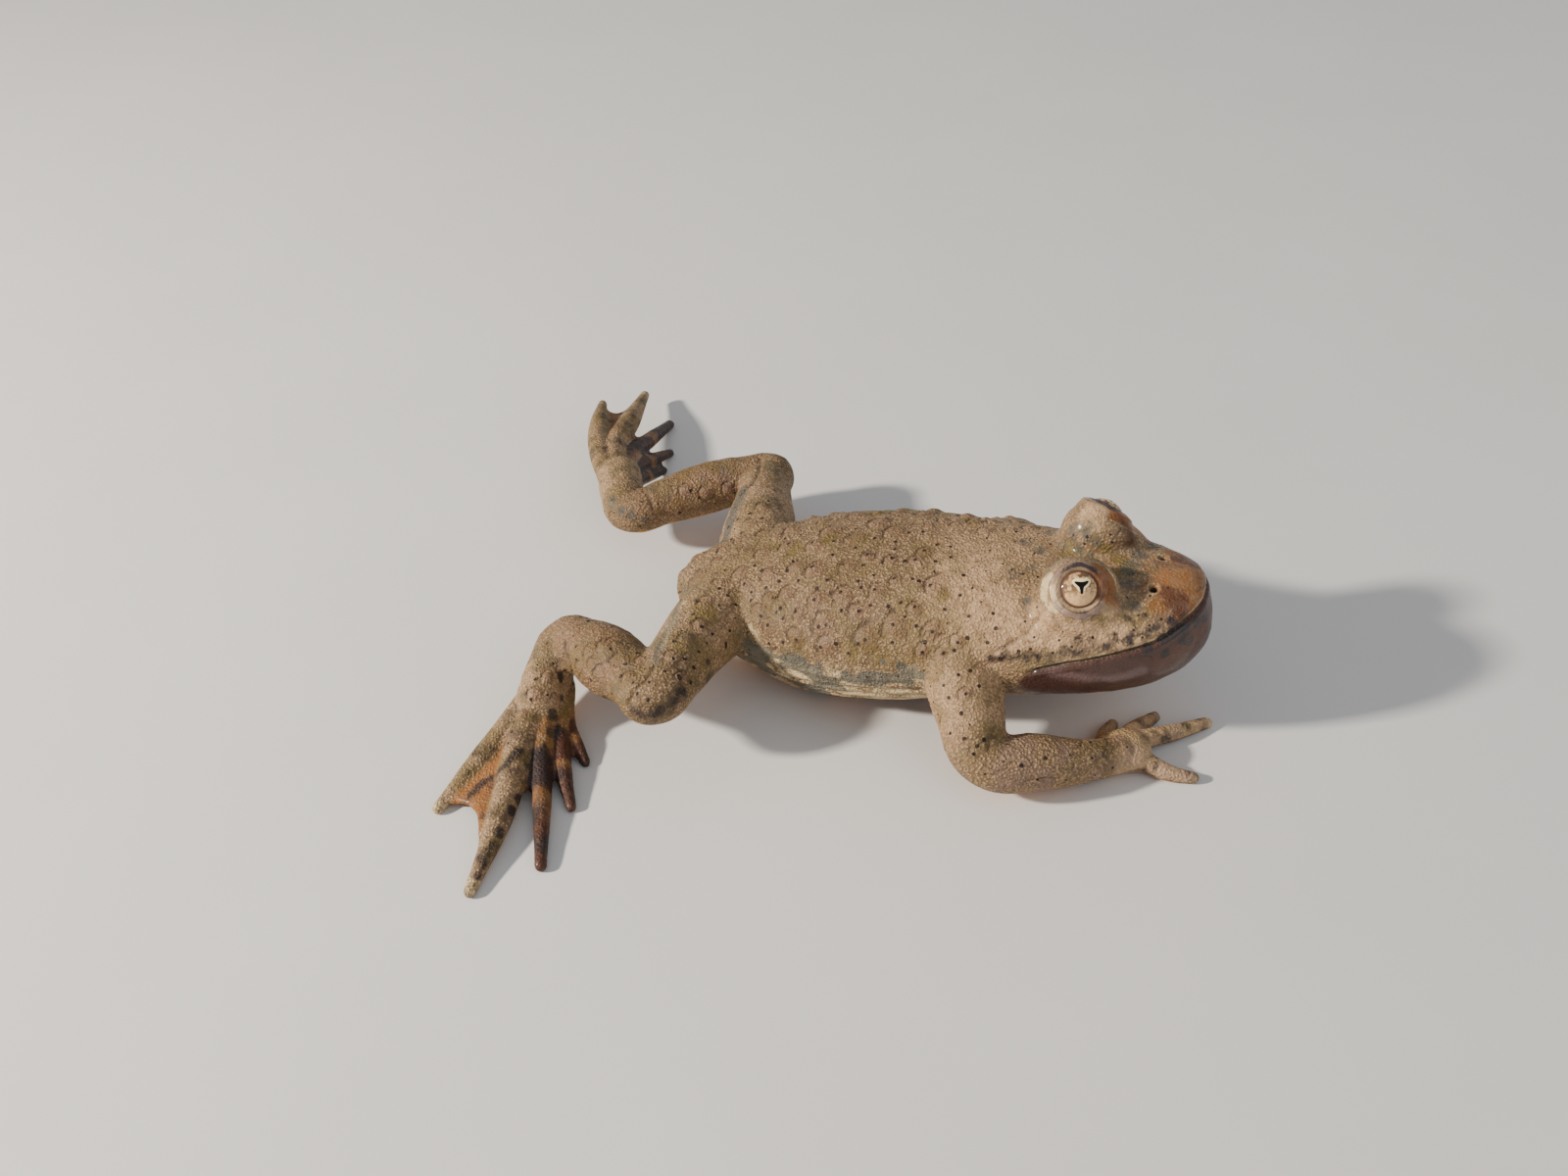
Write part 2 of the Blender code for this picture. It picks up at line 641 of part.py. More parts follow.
def make_foot(side, helpers):
    """A tarsus with five webbed toes and the end of the shank."""
    leg, toes = HIND_LEGS[side], TOES[side]
    forms = [make_tube(f"{side}_tarsus_form", leg[6:], helpers)]
    for i, toe in enumerate(toes):
        forms.append(make_tube(f"{side}_toe_form_{i + 1}", toe, helpers))
    for i, reach in enumerate(TOE_WEBS):
        forms.append(make_web(f"{side}_web_form_{i + 1}", toes[i], toes[i + 1], reach, helpers))
    foot = fuse(f"{side}_foot_flesh", forms, DIGIT_VOXEL, 2, helpers)
    return thin_out(foot, FOOT_TRIANGLES)


def centre_over_origin(nodes):
    """Moves the nodes together so that the middle of their box stands over the origin."""
    points = np.vstack([read_points(node.data) for node in nodes])
    x, y, _ = (points.min(axis=0) + points.max(axis=0)) / 2
    for node in nodes:
        node.data.transform(Matrix.Translation((-x, -y, 0)))


def main():
    """Builds the toad and leaves its named nodes in one collection."""
    clear_scene()
    helpers = make_collection("helpers")
    toad = make_collection("fire_bellied_toad")
    cuts = limb_cuts()
    floor = make_floor(helpers)

    flesh = make_flesh(helpers)
    discs = {name: make_disc(name, centre, normal, radius, helpers) for name, centre, normal, radius in cuts}
    discs["neck"] = make_disc("neck", bent((NECK_X, 0, -0.6)), spine_normal(NECK_X), 9.3, helpers)
    cutters = list(discs.values()) + [make_mouth_sheet(helpers), floor]
    for side in ("right", "left"):
        centre = bent(mirrored(EYE_CENTRE, side))
        radius = EYE_RADIUS + GAP
        cutters.append(make_ball(f"{side}_socket", centre, (radius,) * 3, helpers))
        gaze = turned(mirrored(EYE_GAZE, side), EYE_CENTRE.x)
        cutters.append(make_opening(f"{side}_opening", centre, gaze, helpers))
        nostril = bent(mirrored(NOSTRIL, side))
        cutters.append(make_ball(f"{side}_nostril", nostril, (NOSTRIL_RADIUS,) * 3, helpers))
    for cutter in cutters:
        subtract(flesh, cutter)

    nodes = []
    for name, anchor in anchors().items():
        nodes.append(keep_nearest(copy_of(flesh, name, toad), anchor))
    for side in ("right", "left"):
        hand = make_hand(side, helpers)
        subtract(subtract(hand, discs[f"{side}_wrist"]), floor)
        nodes.append(keep_nearest(copy_of(hand, f"{side}_hand", toad), Vector(FINGERS[side][2][2][:3])))
        foot = make_foot(side, helpers)
        subtract(subtract(foot, discs[f"{side}_ankle"]), floor)
        nodes.append(keep_nearest(copy_of(foot, f"{side}_foot", toad), Vector(TOES[side][2][2][:3])))
        centre = bent(mirrored(EYE_CENTRE, side))
        nodes.append(make_ball(f"{side}_eye", centre, (EYE_RADIUS,) * 3, toad))

    for helper in list(helpers.objects):
        bpy.data.objects.remove(helper)
    bpy.data.collections.remove(helpers)
    centre_over_origin(nodes)
    for node in nodes:
        node.data.transform(Matrix.Scale(MM_TO_M, 4))
        if node.name.endswith("eye"):
            node.data.materials.append(make_material(f"{node.name}_gloss", (0.30, 0.22, 0.12), 0.2))
        else:
            node.data.materials.append(make_material(f"{node.name}_skin", (0.35, 0.28, 0.22), 0.5))


main()
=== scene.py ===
"""Dresses a fire bellied toad: one seamless warty skin, two wet eyes, a pale floor, soft light, a camera.

Forms are made in millimetres in the frame of the part's source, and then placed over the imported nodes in
metres. The toad faces +X, its left is +Y, and it rests on z = 0. Places read from the photograph are pixels
of its 1600 by 1200 frame, and each is carried along the camera's ray to the skin that it shows.
"""

import logging
import math
import random
from dataclasses import dataclass, field
from enum import Enum

import bmesh
import bpy
import numpy as np
from mathutils import Matrix, Vector, kdtree

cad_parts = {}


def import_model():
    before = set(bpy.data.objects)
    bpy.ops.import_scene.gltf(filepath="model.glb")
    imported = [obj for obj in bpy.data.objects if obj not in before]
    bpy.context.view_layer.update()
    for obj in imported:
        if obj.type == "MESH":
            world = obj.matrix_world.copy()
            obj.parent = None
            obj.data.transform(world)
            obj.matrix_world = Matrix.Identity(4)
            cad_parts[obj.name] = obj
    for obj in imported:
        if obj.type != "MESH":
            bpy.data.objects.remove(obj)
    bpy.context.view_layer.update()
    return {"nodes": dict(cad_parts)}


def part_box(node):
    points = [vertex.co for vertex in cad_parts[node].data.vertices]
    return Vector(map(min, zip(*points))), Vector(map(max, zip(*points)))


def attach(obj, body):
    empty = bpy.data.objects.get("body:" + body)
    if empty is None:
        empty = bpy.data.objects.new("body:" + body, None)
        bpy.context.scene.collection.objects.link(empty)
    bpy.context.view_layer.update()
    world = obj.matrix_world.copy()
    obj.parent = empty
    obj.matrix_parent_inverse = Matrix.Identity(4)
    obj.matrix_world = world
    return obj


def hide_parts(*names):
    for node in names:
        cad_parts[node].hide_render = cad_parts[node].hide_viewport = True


Mesh = bpy.types.Mesh
Material = bpy.types.Material
Socket = bpy.types.NodeSocket
Array = np.ndarray
Triple = tuple[float, float, float]
Knot = tuple[float, float, float, float]
Pair = tuple[float, float]
Pixel = Pair
Colour = Triple
Ring = list[Triple]
Wart = tuple[Array, float]

MM = 0.001
PHOTO_WIDTH = 1600
PHOTO_HEIGHT = 1200
CLIP_RANGE = (0.005, 10.0)

# Counts of segments, round and across, and of steps, along and across
BALL_SEGMENTS = (40, 26)
END_SEGMENTS = (24, 16)
RING_SEGMENTS = (48, 16)
TUBE_STEPS = (10, 7)
WEB_STEPS = (18, 9)

TINY = 1e-6
WELD_GAP = 1e-4
PICK_PIXELS = 2.2
TRACE_SPACING = 0.12


class Side(Enum):
    """The toad's two sides, each with its sign along Y."""

    RIGHT = -1
    LEFT = 1

    @property
    def word(self) -> str:
        """The side as the names of the nodes give it."""
        return self.name.lower()


class Tint(Enum):
    """The colour maps that the skin carries from point to point."""

    ROSY = "rosy"
    OLIVE = "olive"
    SLATE = "slate"
    CREAM = "cream"
    BELLY = "belly"
    RUST = "rust"
    PLUM = "plum"
    DARK = "dark"
    WART = "wart"
    # Painted shade in creases, grooves, wrinkles and the troughs of folds.
    CREASE = "crease"
    PORE = "pore"
    AMBER = "amber"
    MAUVE = "mauve"
    SMOOTH = "smooth"


def ease(low: float, high: float, values: Array) -> Array:
    """Rises smoothly from 0 where the values are low to 1 where they are high."""
    share = np.clip((values - low) / (high - low), 0.0, 1.0)
    return share * share * (3 - 2 * share)


def bell(values: Array, width: float) -> Array:
    """A bell curve of 1 at 0."""
    return np.exp(-((values / width) ** 2))


def read_points(mesh: Mesh) -> Array:
    """A mesh's points as an array."""
    points = np.empty(len(mesh.vertices) * 3)
    mesh.vertices.foreach_get("co", points)
    return points.reshape(-1, 3)


def write_points(mesh: Mesh, points: Array) -> None:
    """Puts an array back as a mesh's points."""
    mesh.vertices.foreach_set("co", np.ascontiguousarray(points, dtype=np.float32).ravel())
    mesh.update()


def read_normals(mesh: Mesh) -> Array:
    """A mesh's point normals as an array."""
    normals = np.empty(len(mesh.vertices) * 3)
    mesh.vertex_normals.foreach_get("vector", normals)
    return normals.reshape(-1, 3)


def read_edges(mesh: Mesh) -> tuple[Array, Array]:
    """The two ends of a mesh's edges, as point numbers."""
    edges = np.empty(len(mesh.edges) * 2, np.int32)
    mesh.edges.foreach_get("vertices", edges)
    first, second = edges.reshape(-1, 2).T
    return first, second


def store(mesh: Mesh, name: str, values: Array) -> None:
    """Gives a mesh a map with one value for each point."""
    layer = mesh.attributes.new(name, "FLOAT", "POINT")
    layer.data.foreach_set("value", values.astype(np.float32))


def upright(gaze: Array) -> Array:
    """The direction up, square to a gaze."""
    up = np.array([0.0, 0.0, 1.0]) - gaze * gaze[2]
    return up / np.linalg.norm(up)


def added(name: str, data: bpy.types.ID) -> bpy.types.Object:
    """Makes an object and links it to the scene."""
    made = bpy.data.objects.new(name, data)
    bpy.context.scene.collection.objects.link(made)
    return made


def evaluated(carrier: bpy.types.Object) -> Mesh:
    """Takes an object's finished mesh and removes the object."""
    graph = bpy.context.evaluated_depsgraph_get()
    made = bpy.data.meshes.new_from_object(carrier.evaluated_get(graph))
    bpy.data.objects.remove(carrier)
    return made


def linear(red: int, green: int, blue: int) -> Colour:
    """A screen colour, 0 to 255, as linear light."""
    return tuple(((value / 255 + 0.055) / 1.055) ** 2.4 for value in (red, green, blue))


def mesh_of(bm: bmesh.types.BMesh, name: str) -> Mesh:
    """Closes a bmesh into a mesh with its faces turned out.

    Args:
        bm: The bmesh, which is freed.
        name: The mesh's name.

    Returns:
        The new mesh.
    """
    bmesh.ops.recalc_face_normals(bm, faces=bm.faces)
    mesh = bpy.data.meshes.new(name)
    bm.to_mesh(mesh)
    bm.free()
    return mesh


def modified(mesh: Mesh, kind: str, **settings: object) -> Mesh:
    """Runs a mesh through one modifier.

    Args:
        mesh: The mesh, which is removed.
        kind: The modifier's type.
        settings: The modifier's settings.

    Returns:
        The changed mesh.
    """
    carrier = added("carrier", mesh)
    modifier = carrier.modifiers.new(kind.lower(), kind)
    for name, value in settings.items():
        setattr(modifier, name, value)
    made = evaluated(carrier)
    bpy.data.meshes.remove(mesh)
    return made


def curve_through(knots: Array, spacing: float) -> Array:
    """Draws a smooth curve through points.

    Args:
        knots: The points, in order.
        spacing: About how far apart the curve's own points are.

    Returns:
        The curve's points.
    """
    padded = np.vstack([2 * knots[0] - knots[1], knots, 2 * knots[-1] - knots[-2]])
    drawn = []
    for before, first, second, after in zip(padded, padded[1:], padded[2:], padded[3:]):
        count = max(2, int(np.linalg.norm(second - first) / spacing))
        share = np.linspace(0, 1, count, endpoint=False)[:, None]
        drawn.append(
            0.5 * (2 * first + (second - before) * share
                   + (2 * before - 5 * first + 4 * second - after) * share ** 2
                   + (3 * first - before - 3 * second + after) * share ** 3)
        )
    return np.vstack(drawn + [knots[-1:]])


@dataclass(frozen=True)
class LatticeNoise:
    """Smooth seeded noise from random values on a repeating grid."""

    seed: int
    size: int = 32

    def sample(self, points: Array, wavelength: float) -> Array:
        """Reads the noise at points.

        Args:
            points: Where it is read.
            wavelength: The grid's spacing.

        Returns:
            One value from -1 to 1 for each point.
        """
        values = np.random.default_rng(self.seed).uniform(-1, 1, (self.size,) * 3)
        place = points / wavelength
        cell = np.floor(place).astype(int)
        part = place - cell
        part = part * part * (3 - 2 * part)
        total = np.zeros(len(points))
        for corner in np.ndindex(2, 2, 2):
            weight = np.prod(np.where(corner, part, 1 - part), axis=1)
            x, y, z = ((cell + corner) % self.size).T
            total += weight * values[x, y, z]
        return total


@dataclass(frozen=True)
class Spine:
    """The curved line that the trunk follows from the vent to the snout."""

    vent_x: float = -22.5
    vent_height: float = 5.0
    length: float = 45.0
    vent_pitch: float = math.radians(6.0)
    snout_pitch: float = math.radians(12.0)

    @property
    def radius(self) -> float:
        """The radius of the spine's curve."""
        return self.length / (self.snout_pitch - self.vent_pitch)

    @property
    def middle(self) -> Pair:
        """The centre of the spine's curve, as x and z."""
        x = self.vent_x - math.sin(self.vent_pitch) * self.radius
        return x, self.vent_height + math.cos(self.vent_pitch) * self.radius

    def bend(self, points: Array) -> Array:
        """Carries points from the straight spine's frame to the pose.

        Args:
            points: Points with the spine straight.

        Returns:
            The same points in the pose.
        """
        points = np.asarray(points, float).reshape(-1, 3)
        pitch = self.vent_pitch + (points[:, 0] - self.vent_x) / self.radius
        reach = self.radius - points[:, 2]
        x, z = self.middle
        return np.stack([x + reach * np.sin(pitch), points[:, 1], z - reach * np.cos(pitch)], axis=1)

    def unbend(self, points: Array) -> Array:
        """Carries points of the pose back to the straight spine's frame.

        Args:
            points: Points in the pose.

        Returns:
            The same points with the spine straight.
        """
        x, z = self.middle
        across, down = points[:, 0] - x, z - points[:, 2]
        along = self.vent_x + (np.arctan2(across, down) - self.vent_pitch) * self.radius
        return np.stack([along, points[:, 1], self.radius - np.hypot(across, down)], axis=1)

    def turn(self, direction: Array, x: float) -> Array:
        """Turns a direction of the straight spine's frame into the pose.

        Args:
            direction: The direction with the spine straight.
            x: The place along the spine where it is.

        Returns:
            The direction in the pose.
        """
        pitch = self.vent_pitch + (x - self.vent_x) / self.radius
        ahead, side, up = direction
        return np.array([
            ahead * math.cos(pitch) - up * math.sin(pitch),
            side,
            ahead * math.sin(pitch) + up * math.cos(pitch),
        ])


@dataclass(frozen=True)
class Line:
    """A limb or a digit as points that each have a radius."""

    knots: tuple[Knot, ...]

    def measure(self, points: Array) -> tuple[Array, Array]:
        """Finds where points lie against the line.

        Args:
            points: The points.

        Returns:
            How far each is outside the line's surface, and how far along the line it is.
        """
        gap = np.full(len(points), np.inf)
        along = np.zeros(len(points))
        start = 0.0
        for first, second in zip(self.knots, self.knots[1:]):
            root, tip = np.array(first[:3]), np.array(second[:3])
            step = tip - root
            length = float(np.linalg.norm(step))
            share = np.clip((points - root) @ step / length ** 2, 0, 1)
            reach = first[3] + (second[3] - first[3]) * share
            here = np.linalg.norm(points - root - share[:, None] * step, axis=1) - reach
            nearer = here < gap
            gap = np.where(nearer, here, gap)
            along = np.where(nearer, start + share * length, along)
            start += length
        return gap, along

    @property
    def length(self) -> float:
        """The line's whole length."""
        places = np.array([knot[:3] for knot in self.knots])
        return float(np.linalg.norm(np.diff(places, axis=0), axis=1).sum())

    def point_at(self, share: float) -> Vector:
        """The point at a share of the line's length."""
        left = share * self.length
        for first, second in zip(self.knots, self.knots[1:]):
            root, tip = Vector(first[:3]), Vector(second[:3])
            if left <= (tip - root).length:
                return root.lerp(tip, left / (tip - root).length)
            left -= (tip - root).length
        return Vector(self.knots[-1][:3])


@dataclass(frozen=True)
class EyePlace:
    """Where the eyes sit, given for the toad's left with the spine straight."""

    radius: float = 2.1
    centre: Triple = (14.1, 3.95, 4.4)
    gaze: Triple = (0.46, 0.69, 0.6)

    def in_pose(self, side: Side, spine: Spine) -> tuple[Array, Array]:
        """Finds one eye in the pose.

        Args:
            side: Which eye.
            spine: The spine that carries the head.

        Returns:
            The eye's centre and the direction of its gaze.
        """
        flip = np.array([1, side.value, 1])
        centre = spine.bend(np.array(self.centre) * flip)[0]
        gaze = spine.turn(np.array(self.gaze) * flip, self.centre[0])
        return centre, gaze / np.linalg.norm(gaze)


@dataclass(frozen=True)
class Placement:
    """The step from the source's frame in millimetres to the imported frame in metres."""

    shift: Triple

    @classmethod
    def from_eye(cls, eye: EyePlace, spine: Spine) -> "Placement":
        """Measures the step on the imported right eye.

        Args:
            eye: Where the eyes sit.
            spine: The spine that carries the head.

        Returns:
            The placement.
        """
        low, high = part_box("right_eye")
        packed = np.array((low + high) / 2) / MM
        centre, _ = eye.in_pose(Side.RIGHT, spine)
        x, y, _ = packed - centre
        return cls((float(x), float(y), 0.0))

    def to_metres(self, points: Array) -> Array:
        """Points of the source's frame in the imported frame."""
        return (points + np.array(self.shift)) * MM


@dataclass(frozen=True)
class PhotoCamera:
    """The photograph's camera, fitted to the toad's own landmarks."""

    azimuth: float = 25.967
    elevation: float = 39.631
    roll: float = -7.734
    distance: float = 130.0
    target: Triple = (-13.018, 0.413, 6.0)
    focal_pixels: float = 1552.396
    sensor: float = 36.0

    @property
    def axes(self) -> Array:
        """The camera's right, up and backward directions, one to a row."""
        around, above, lean = np.radians([self.azimuth, self.elevation, self.roll])
        back = np.array([
            math.sin(around) * math.cos(above), -math.cos(around) * math.cos(above), math.sin(above)
        ])
        right = np.array([math.cos(around), math.sin(around), 0.0])
        up = np.cross(back, right)
        return np.array([
            right * math.cos(lean) + up * math.sin(lean),
            -right * math.sin(lean) + up * math.cos(lean),
            back,
        ])

    @property
    def place(self) -> Array:
        """The camera's place in the source's frame."""
        return np.array(self.target) + self.axes[2] * self.distance

    def project(self, points: Array) -> tuple[Array, Array]:
        """Finds where the photograph shows points.

        Args:
            points: Points in the source's frame.

        Returns:
            Their pixels, and their distances in front of the camera.
        """
        seen = (points - self.place) @ self.axes.T
        depth = -seen[:, 2]
        pixels = np.stack([
            PHOTO_WIDTH / 2 + self.focal_pixels * seen[:, 0] / depth,
            PHOTO_HEIGHT / 2 - self.focal_pixels * seen[:, 1] / depth,
        ], axis=1)
        return pixels, depth

    def set_up(self, placement: Placement) -> None:
        """Makes the scene's camera.

        Args:
            placement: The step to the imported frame.
        """
        data = bpy.data.cameras.new("photo_camera")
        data.sensor_width = self.sensor
        data.lens = self.sensor * self.focal_pixels / PHOTO_WIDTH
        data.clip_start, data.clip_end = CLIP_RANGE
        camera = added("photo_camera", data)
        turn = Matrix([list(row) for row in self.axes]).transposed()
        place = placement.to_metres(self.place[None])[0]
        camera.matrix_world = Matrix.Translation(place) @ turn.to_4x4()
        bpy.context.scene.camera = camera


class Forms:
    """Closed forms gathered in one bmesh, until a voxel remesh makes one skin of them."""

    def __init__(self, spine: Spine) -> None:
        """Starts with no form."""
        self.spine = spine
        self.gathered = bmesh.new()

    def take(self, mesh: Mesh, straight: bool = False) -> None:
        """Adds a mesh.

        Args:
            mesh: The mesh, which is removed.
            straight: Whether it is given with the spine straight.
        """
        if straight:
            write_points(mesh, self.spine.bend(read_points(mesh)))
        self.gathered.from_mesh(mesh)
        bpy.data.meshes.remove(mesh)

    def ball(self, centre: Array, radii: Array, straight: bool = False) -> None:
        """Adds an ellipsoid.

        Args:
            centre: Its middle.
            radii: Its half axes.
            straight: Whether it is given with the spine straight.
        """
        bm = bmesh.new()
        around, across = BALL_SEGMENTS
        bmesh.ops.create_uvsphere(bm, u_segments=around, v_segments=across, radius=1.0)
        place = Matrix.Translation(centre) @ Matrix.Diagonal((*radii, 1.0))
        bmesh.ops.transform(bm, matrix=place, verts=bm.verts)
        self.take(mesh_of(bm, "ball"), straight)

    def ring(self, centre: Array, axis: Array, radius: float, thickness: float) -> None:
        """Adds a torus, with the spine straight.

        Args:
            centre: Its middle.
            axis: The direction it faces.
            radius: From its middle to its tube's middle.
            thickness: The tube's radius.
        """
        bm = bmesh.new()
        around_count, across_count = RING_SEGMENTS
        turn = Vector(axis).to_track_quat("Z", "Y").to_matrix()
        rows = []
        for i in range(around_count):
            around = math.tau * i / around_count
            row = []
            for j in range(across_count):
                across = math.tau * j / across_count
                reach = radius + thickness * math.cos(across)
                offset = Vector((
                    reach * math.cos(around), reach * math.sin(around), thickness * math.sin(across)
                ))
                row.append(bm.verts.new(Vector(centre) + turn @ offset))
            rows.append(row)
        for first, second in zip(rows, rows[1:] + rows[:1]):
            for j in range(across_count):
                k = (j + 1) % across_count
                bm.faces.new((first[j], second[j], second[k], first[k]))
        self.take(mesh_of(bm, "ring"), straight=True)

    def tube(self, line: Line) -> None:
        """Adds a tube along a line, with round ends.

        Args:
            line: The line.
        """
        curve = bpy.data.curves.new("tube", "CURVE")
        curve.dimensions = "3D"
        curve.resolution_u, curve.bevel_resolution = TUBE_STEPS
        curve.bevel_depth = 1.0
        curve.use_fill_caps = True
        spline = curve.splines.new("BEZIER")
        spline.radius_interpolation = "CARDINAL"
        spline.bezier_points.add(len(line.knots) - 1)
        for point, (x, y, z, radius) in zip(spline.bezier_points, line.knots):
            point.co = (x, y, z)
            point.radius = radius
            point.handle_left_type = "AUTO"
            point.handle_right_type = "AUTO"
        mesh = evaluated(added("tube", curve))
        bpy.data.curves.remove(curve)
        bm = bmesh.new()
        bm.from_mesh(mesh)
        bpy.data.meshes.remove(mesh)
        bmesh.ops.remove_doubles(bm, verts=bm.verts, dist=WELD_GAP)
        around, across = END_SEGMENTS
        for x, y, z, radius in (line.knots[0], line.knots[-1]):
            place = Matrix.Translation((x, y, z))
            bmesh.ops.create_uvsphere(
                bm, u_segments=around, v_segments=across, radius=radius, matrix=place
            )
        self.take(mesh_of(bm, "tube"))

    def slab(self, rows: list[list[Vector]], thickness: float) -> None:
        """Adds a thin sheet.

        Args:
            rows: A grid of points on its middle.
            thickness: Its thickness along Z.
        """
        bm = bmesh.new()
        half = Vector((0, 0, thickness / 2))
        top = [[bm.verts.new(point + half) for point in row] for row in rows]
        low = [[bm.verts.new(point - half) for point in row] for row in rows]
        last, side = len(rows) - 1, len(rows[0]) - 1
        for i in range(last):
            for j in range(side):
                bm.faces.new((top[i][j], top[i][j + 1], top[i + 1][j + 1], top[i + 1][j]))
                bm.faces.new((low[i][j], low[i + 1][j], low[i + 1][j + 1], low[i][j + 1]))
        edge = [(i, 0) for i in range(last)] + [(last, j) for j in range(side)]
        edge += [(i, side) for i in range(last, 0, -1)] + [(0, j) for j in range(side, 0, -1)]
        for (i, j), (k, m) in zip(edge, edge[1:] + edge[:1]):
            bm.faces.new((top[i][j], top[k][m], low[k][m], low[i][j]))
        self.take(mesh_of(bm, "slab"))

    def loft(self, rings: list[Ring], rounding: int) -> None:
        """Adds a closed loft, with the spine straight.

        Args:
            rings: Its outlines, one after another.
            rounding: How often it is subdivided.
        """
        bm = bmesh.new()
        rows = [[bm.verts.new(point) for point in ring] for ring in rings]
        for front, back in zip(rows, rows[1:]):
            for i in range(len(front)):
                j = (i + 1) % len(front)
                bm.faces.new((front[i], front[j], back[j], back[i]))
        bm.faces.new(rows[0])
        bm.faces.new(rows[-1])
        mesh = modified(mesh_of(bm, "loft"), "SUBSURF", levels=rounding, render_levels=rounding)
        self.take(mesh, straight=True)

    def fuse(self, voxel: float) -> Mesh:
        """Joins all forms into one closed skin with points a voxel apart."""
        mesh = modified(mesh_of(self.gathered, "fused"), "REMESH", mode="VOXEL", voxel_size=voxel)
        return self.largest(mesh)

    @staticmethod
    def largest(mesh: Mesh) -> Mesh:
        """Keeps the piece of a mesh with the most points.

        Args:
            mesh: The mesh.

        Returns:
            The same mesh.
        """
        first, second = read_edges(mesh)
        label = np.arange(len(mesh.vertices))
        while True:
            lower = np.minimum(label[first], label[second])
            after = label.copy()
            np.minimum.at(after, first, lower)
            np.minimum.at(after, second, lower)
            after = after[after]
            if (after == label).all():
                break
            label = after
        names, counts = np.unique(label, return_counts=True)
        kept = names[counts.argmax()]
        bm = bmesh.new()
        bm.from_mesh(mesh)
        extra = [vert for vert in bm.verts if label[vert.index] != kept]
        bmesh.ops.delete(bm, geom=extra, context="VERTS")
        bm.to_mesh(mesh)
        bm.free()
        return mesh


@dataclass(frozen=True)
class Trunk:
    """The trunk and the head as sections across a straight spine.

    Each section has its place along the spine, its half width, the height of the back over the spine, the
    depth of the belly under it, and the height of its widest level.
    """

    sections: tuple[tuple[float, float, float, float, float], ...] = (
        (22.7, 1.4, 1.3, 2.2, -0.3),
        (22.1, 3.0, 2.2, 3.8, -0.3),
        (20.7, 4.7, 2.8, 5.1, -0.5),
        (18.4, 6.2, 3.3, 5.9, -0.6),
        (15.2, 7.2, 3.7, 6.3, -0.6),
        (11.6, 7.8, 4.1, 6.2, -0.6),
        (8.0, 8.1, 4.5, 6.0, -0.5),
        (4.0, 8.8, 5.1, 6.3, -0.5),
        (0.0, 9.3, 5.4, 6.7, -0.6),
        (-4.0, 9.4, 5.6, 7.1, -0.7),
        (-8.0, 9.1, 5.5, 7.3, -0.7),
        (-12.0, 8.0, 5.0, 6.8, -0.6),
        (-15.5, 6.3, 4.3, 5.7, -0.4),
        (-18.6, 4.7, 3.5, 4.2, -0.2),
        (-21.2, 3.3, 2.5, 2.6, 0.0),
        (-22.6, 1.6, 1.3, 1.2, 0.2),
    )
    outline_points: int = 20
    power: float = 2.25
    rounding: int = 2

    def add_to(self, forms: Forms) -> None:
        """Adds the trunk as a loft.

        Args:
            forms: Where it goes.
        """
        rings = []
        for x, half_width, top, depth, level in self.sections:
            ring = []
            for i in range(self.outline_points):
                angle = math.tau * i / self.outline_points
                across, up = math.cos(angle), math.sin(angle)
                across = math.copysign(abs(across) ** (2 / self.power), across)
                up = math.copysign(abs(up) ** (2 / self.power), up)
                reach = top - level if up > 0 else depth + level
                ring.append((x, half_width * across, level + reach * up))
            rings.append(ring)
        forms.loft(rings, self.rounding)

    def gap(self, straight: Array) -> Array:
        """About how far points lie outside the trunk.

        Args:
            straight: The points with the spine straight.

        Returns:
            One distance for each point, negative inside.
        """
        table = np.array(self.sections)[::-1]
        half_width, top, depth, level = (
            np.interp(straight[:, 0], table[:, 0], table[:, k]) for k in range(1, 5)
        )
        up = straight[:, 2] - level
        reach = np.where(up > 0, top - level, depth + level)
        round_sum = np.abs(straight[:, 1] / half_width) ** self.power + np.abs(up / reach) ** self.power
        return (round_sum ** (1 / self.power) - 1) * np.minimum(half_width, reach)


@dataclass(frozen=True)
class Foot:
    """A hand or a foot: its digits from the inside out, and the webs between them."""

    digits: tuple[Line, ...]
    darkness: tuple[float, ...]
    webs: tuple[Triple, ...] = ()
    web_thickness: float = 0.62

    def add_to(self, forms: Forms) -> None:
        """Adds the digits and the webs.

        Args:
            forms: Where they go.
        """
        for digit in self.digits:
            forms.tube(digit)
        for first, second, reach in zip(self.digits, self.digits[1:], self.webs):
            forms.slab(self.web_rows(first, second, reach), self.web_thickness)

    @staticmethod
    def web_rows(first: Line, second: Line, reach: Triple) -> list[list[Vector]]:
        """Lays out the web between two digits.

        Args:
            first: One digit.
            second: The next digit.
            reach: How far along each digit the web goes, and how deep its free edge sags.

        Returns:
            A grid of points from the root to the free edge.
        """
        reach_first, reach_second, sag = reach
        rows = []
        steps_along, steps_across = WEB_STEPS
        for i in range(steps_along + 1):
            along = i / steps_along
            row = []
            for j in range(steps_across + 1):
                across = j / steps_across
                slack = 1 - sag * math.sin(math.pi * across) * along
                start = first.point_at(along * reach_first * slack)
                end = second.point_at(along * reach_second * slack)
                row.append(start.lerp(end, across))
            rows.append(row)
        return rows


TOE_WEBS = ((0.68, 0.62, 0.2), (0.66, 0.6, 0.2), (0.7, 0.72, 0.22), (0.9, 0.95, 0.14))
TOE_DARKNESS = (0.95, 0.95, 0.9, 0.45, 0.5)
FINGER_DARKNESS = (0.35, 0.45, 0.4, 0.3)


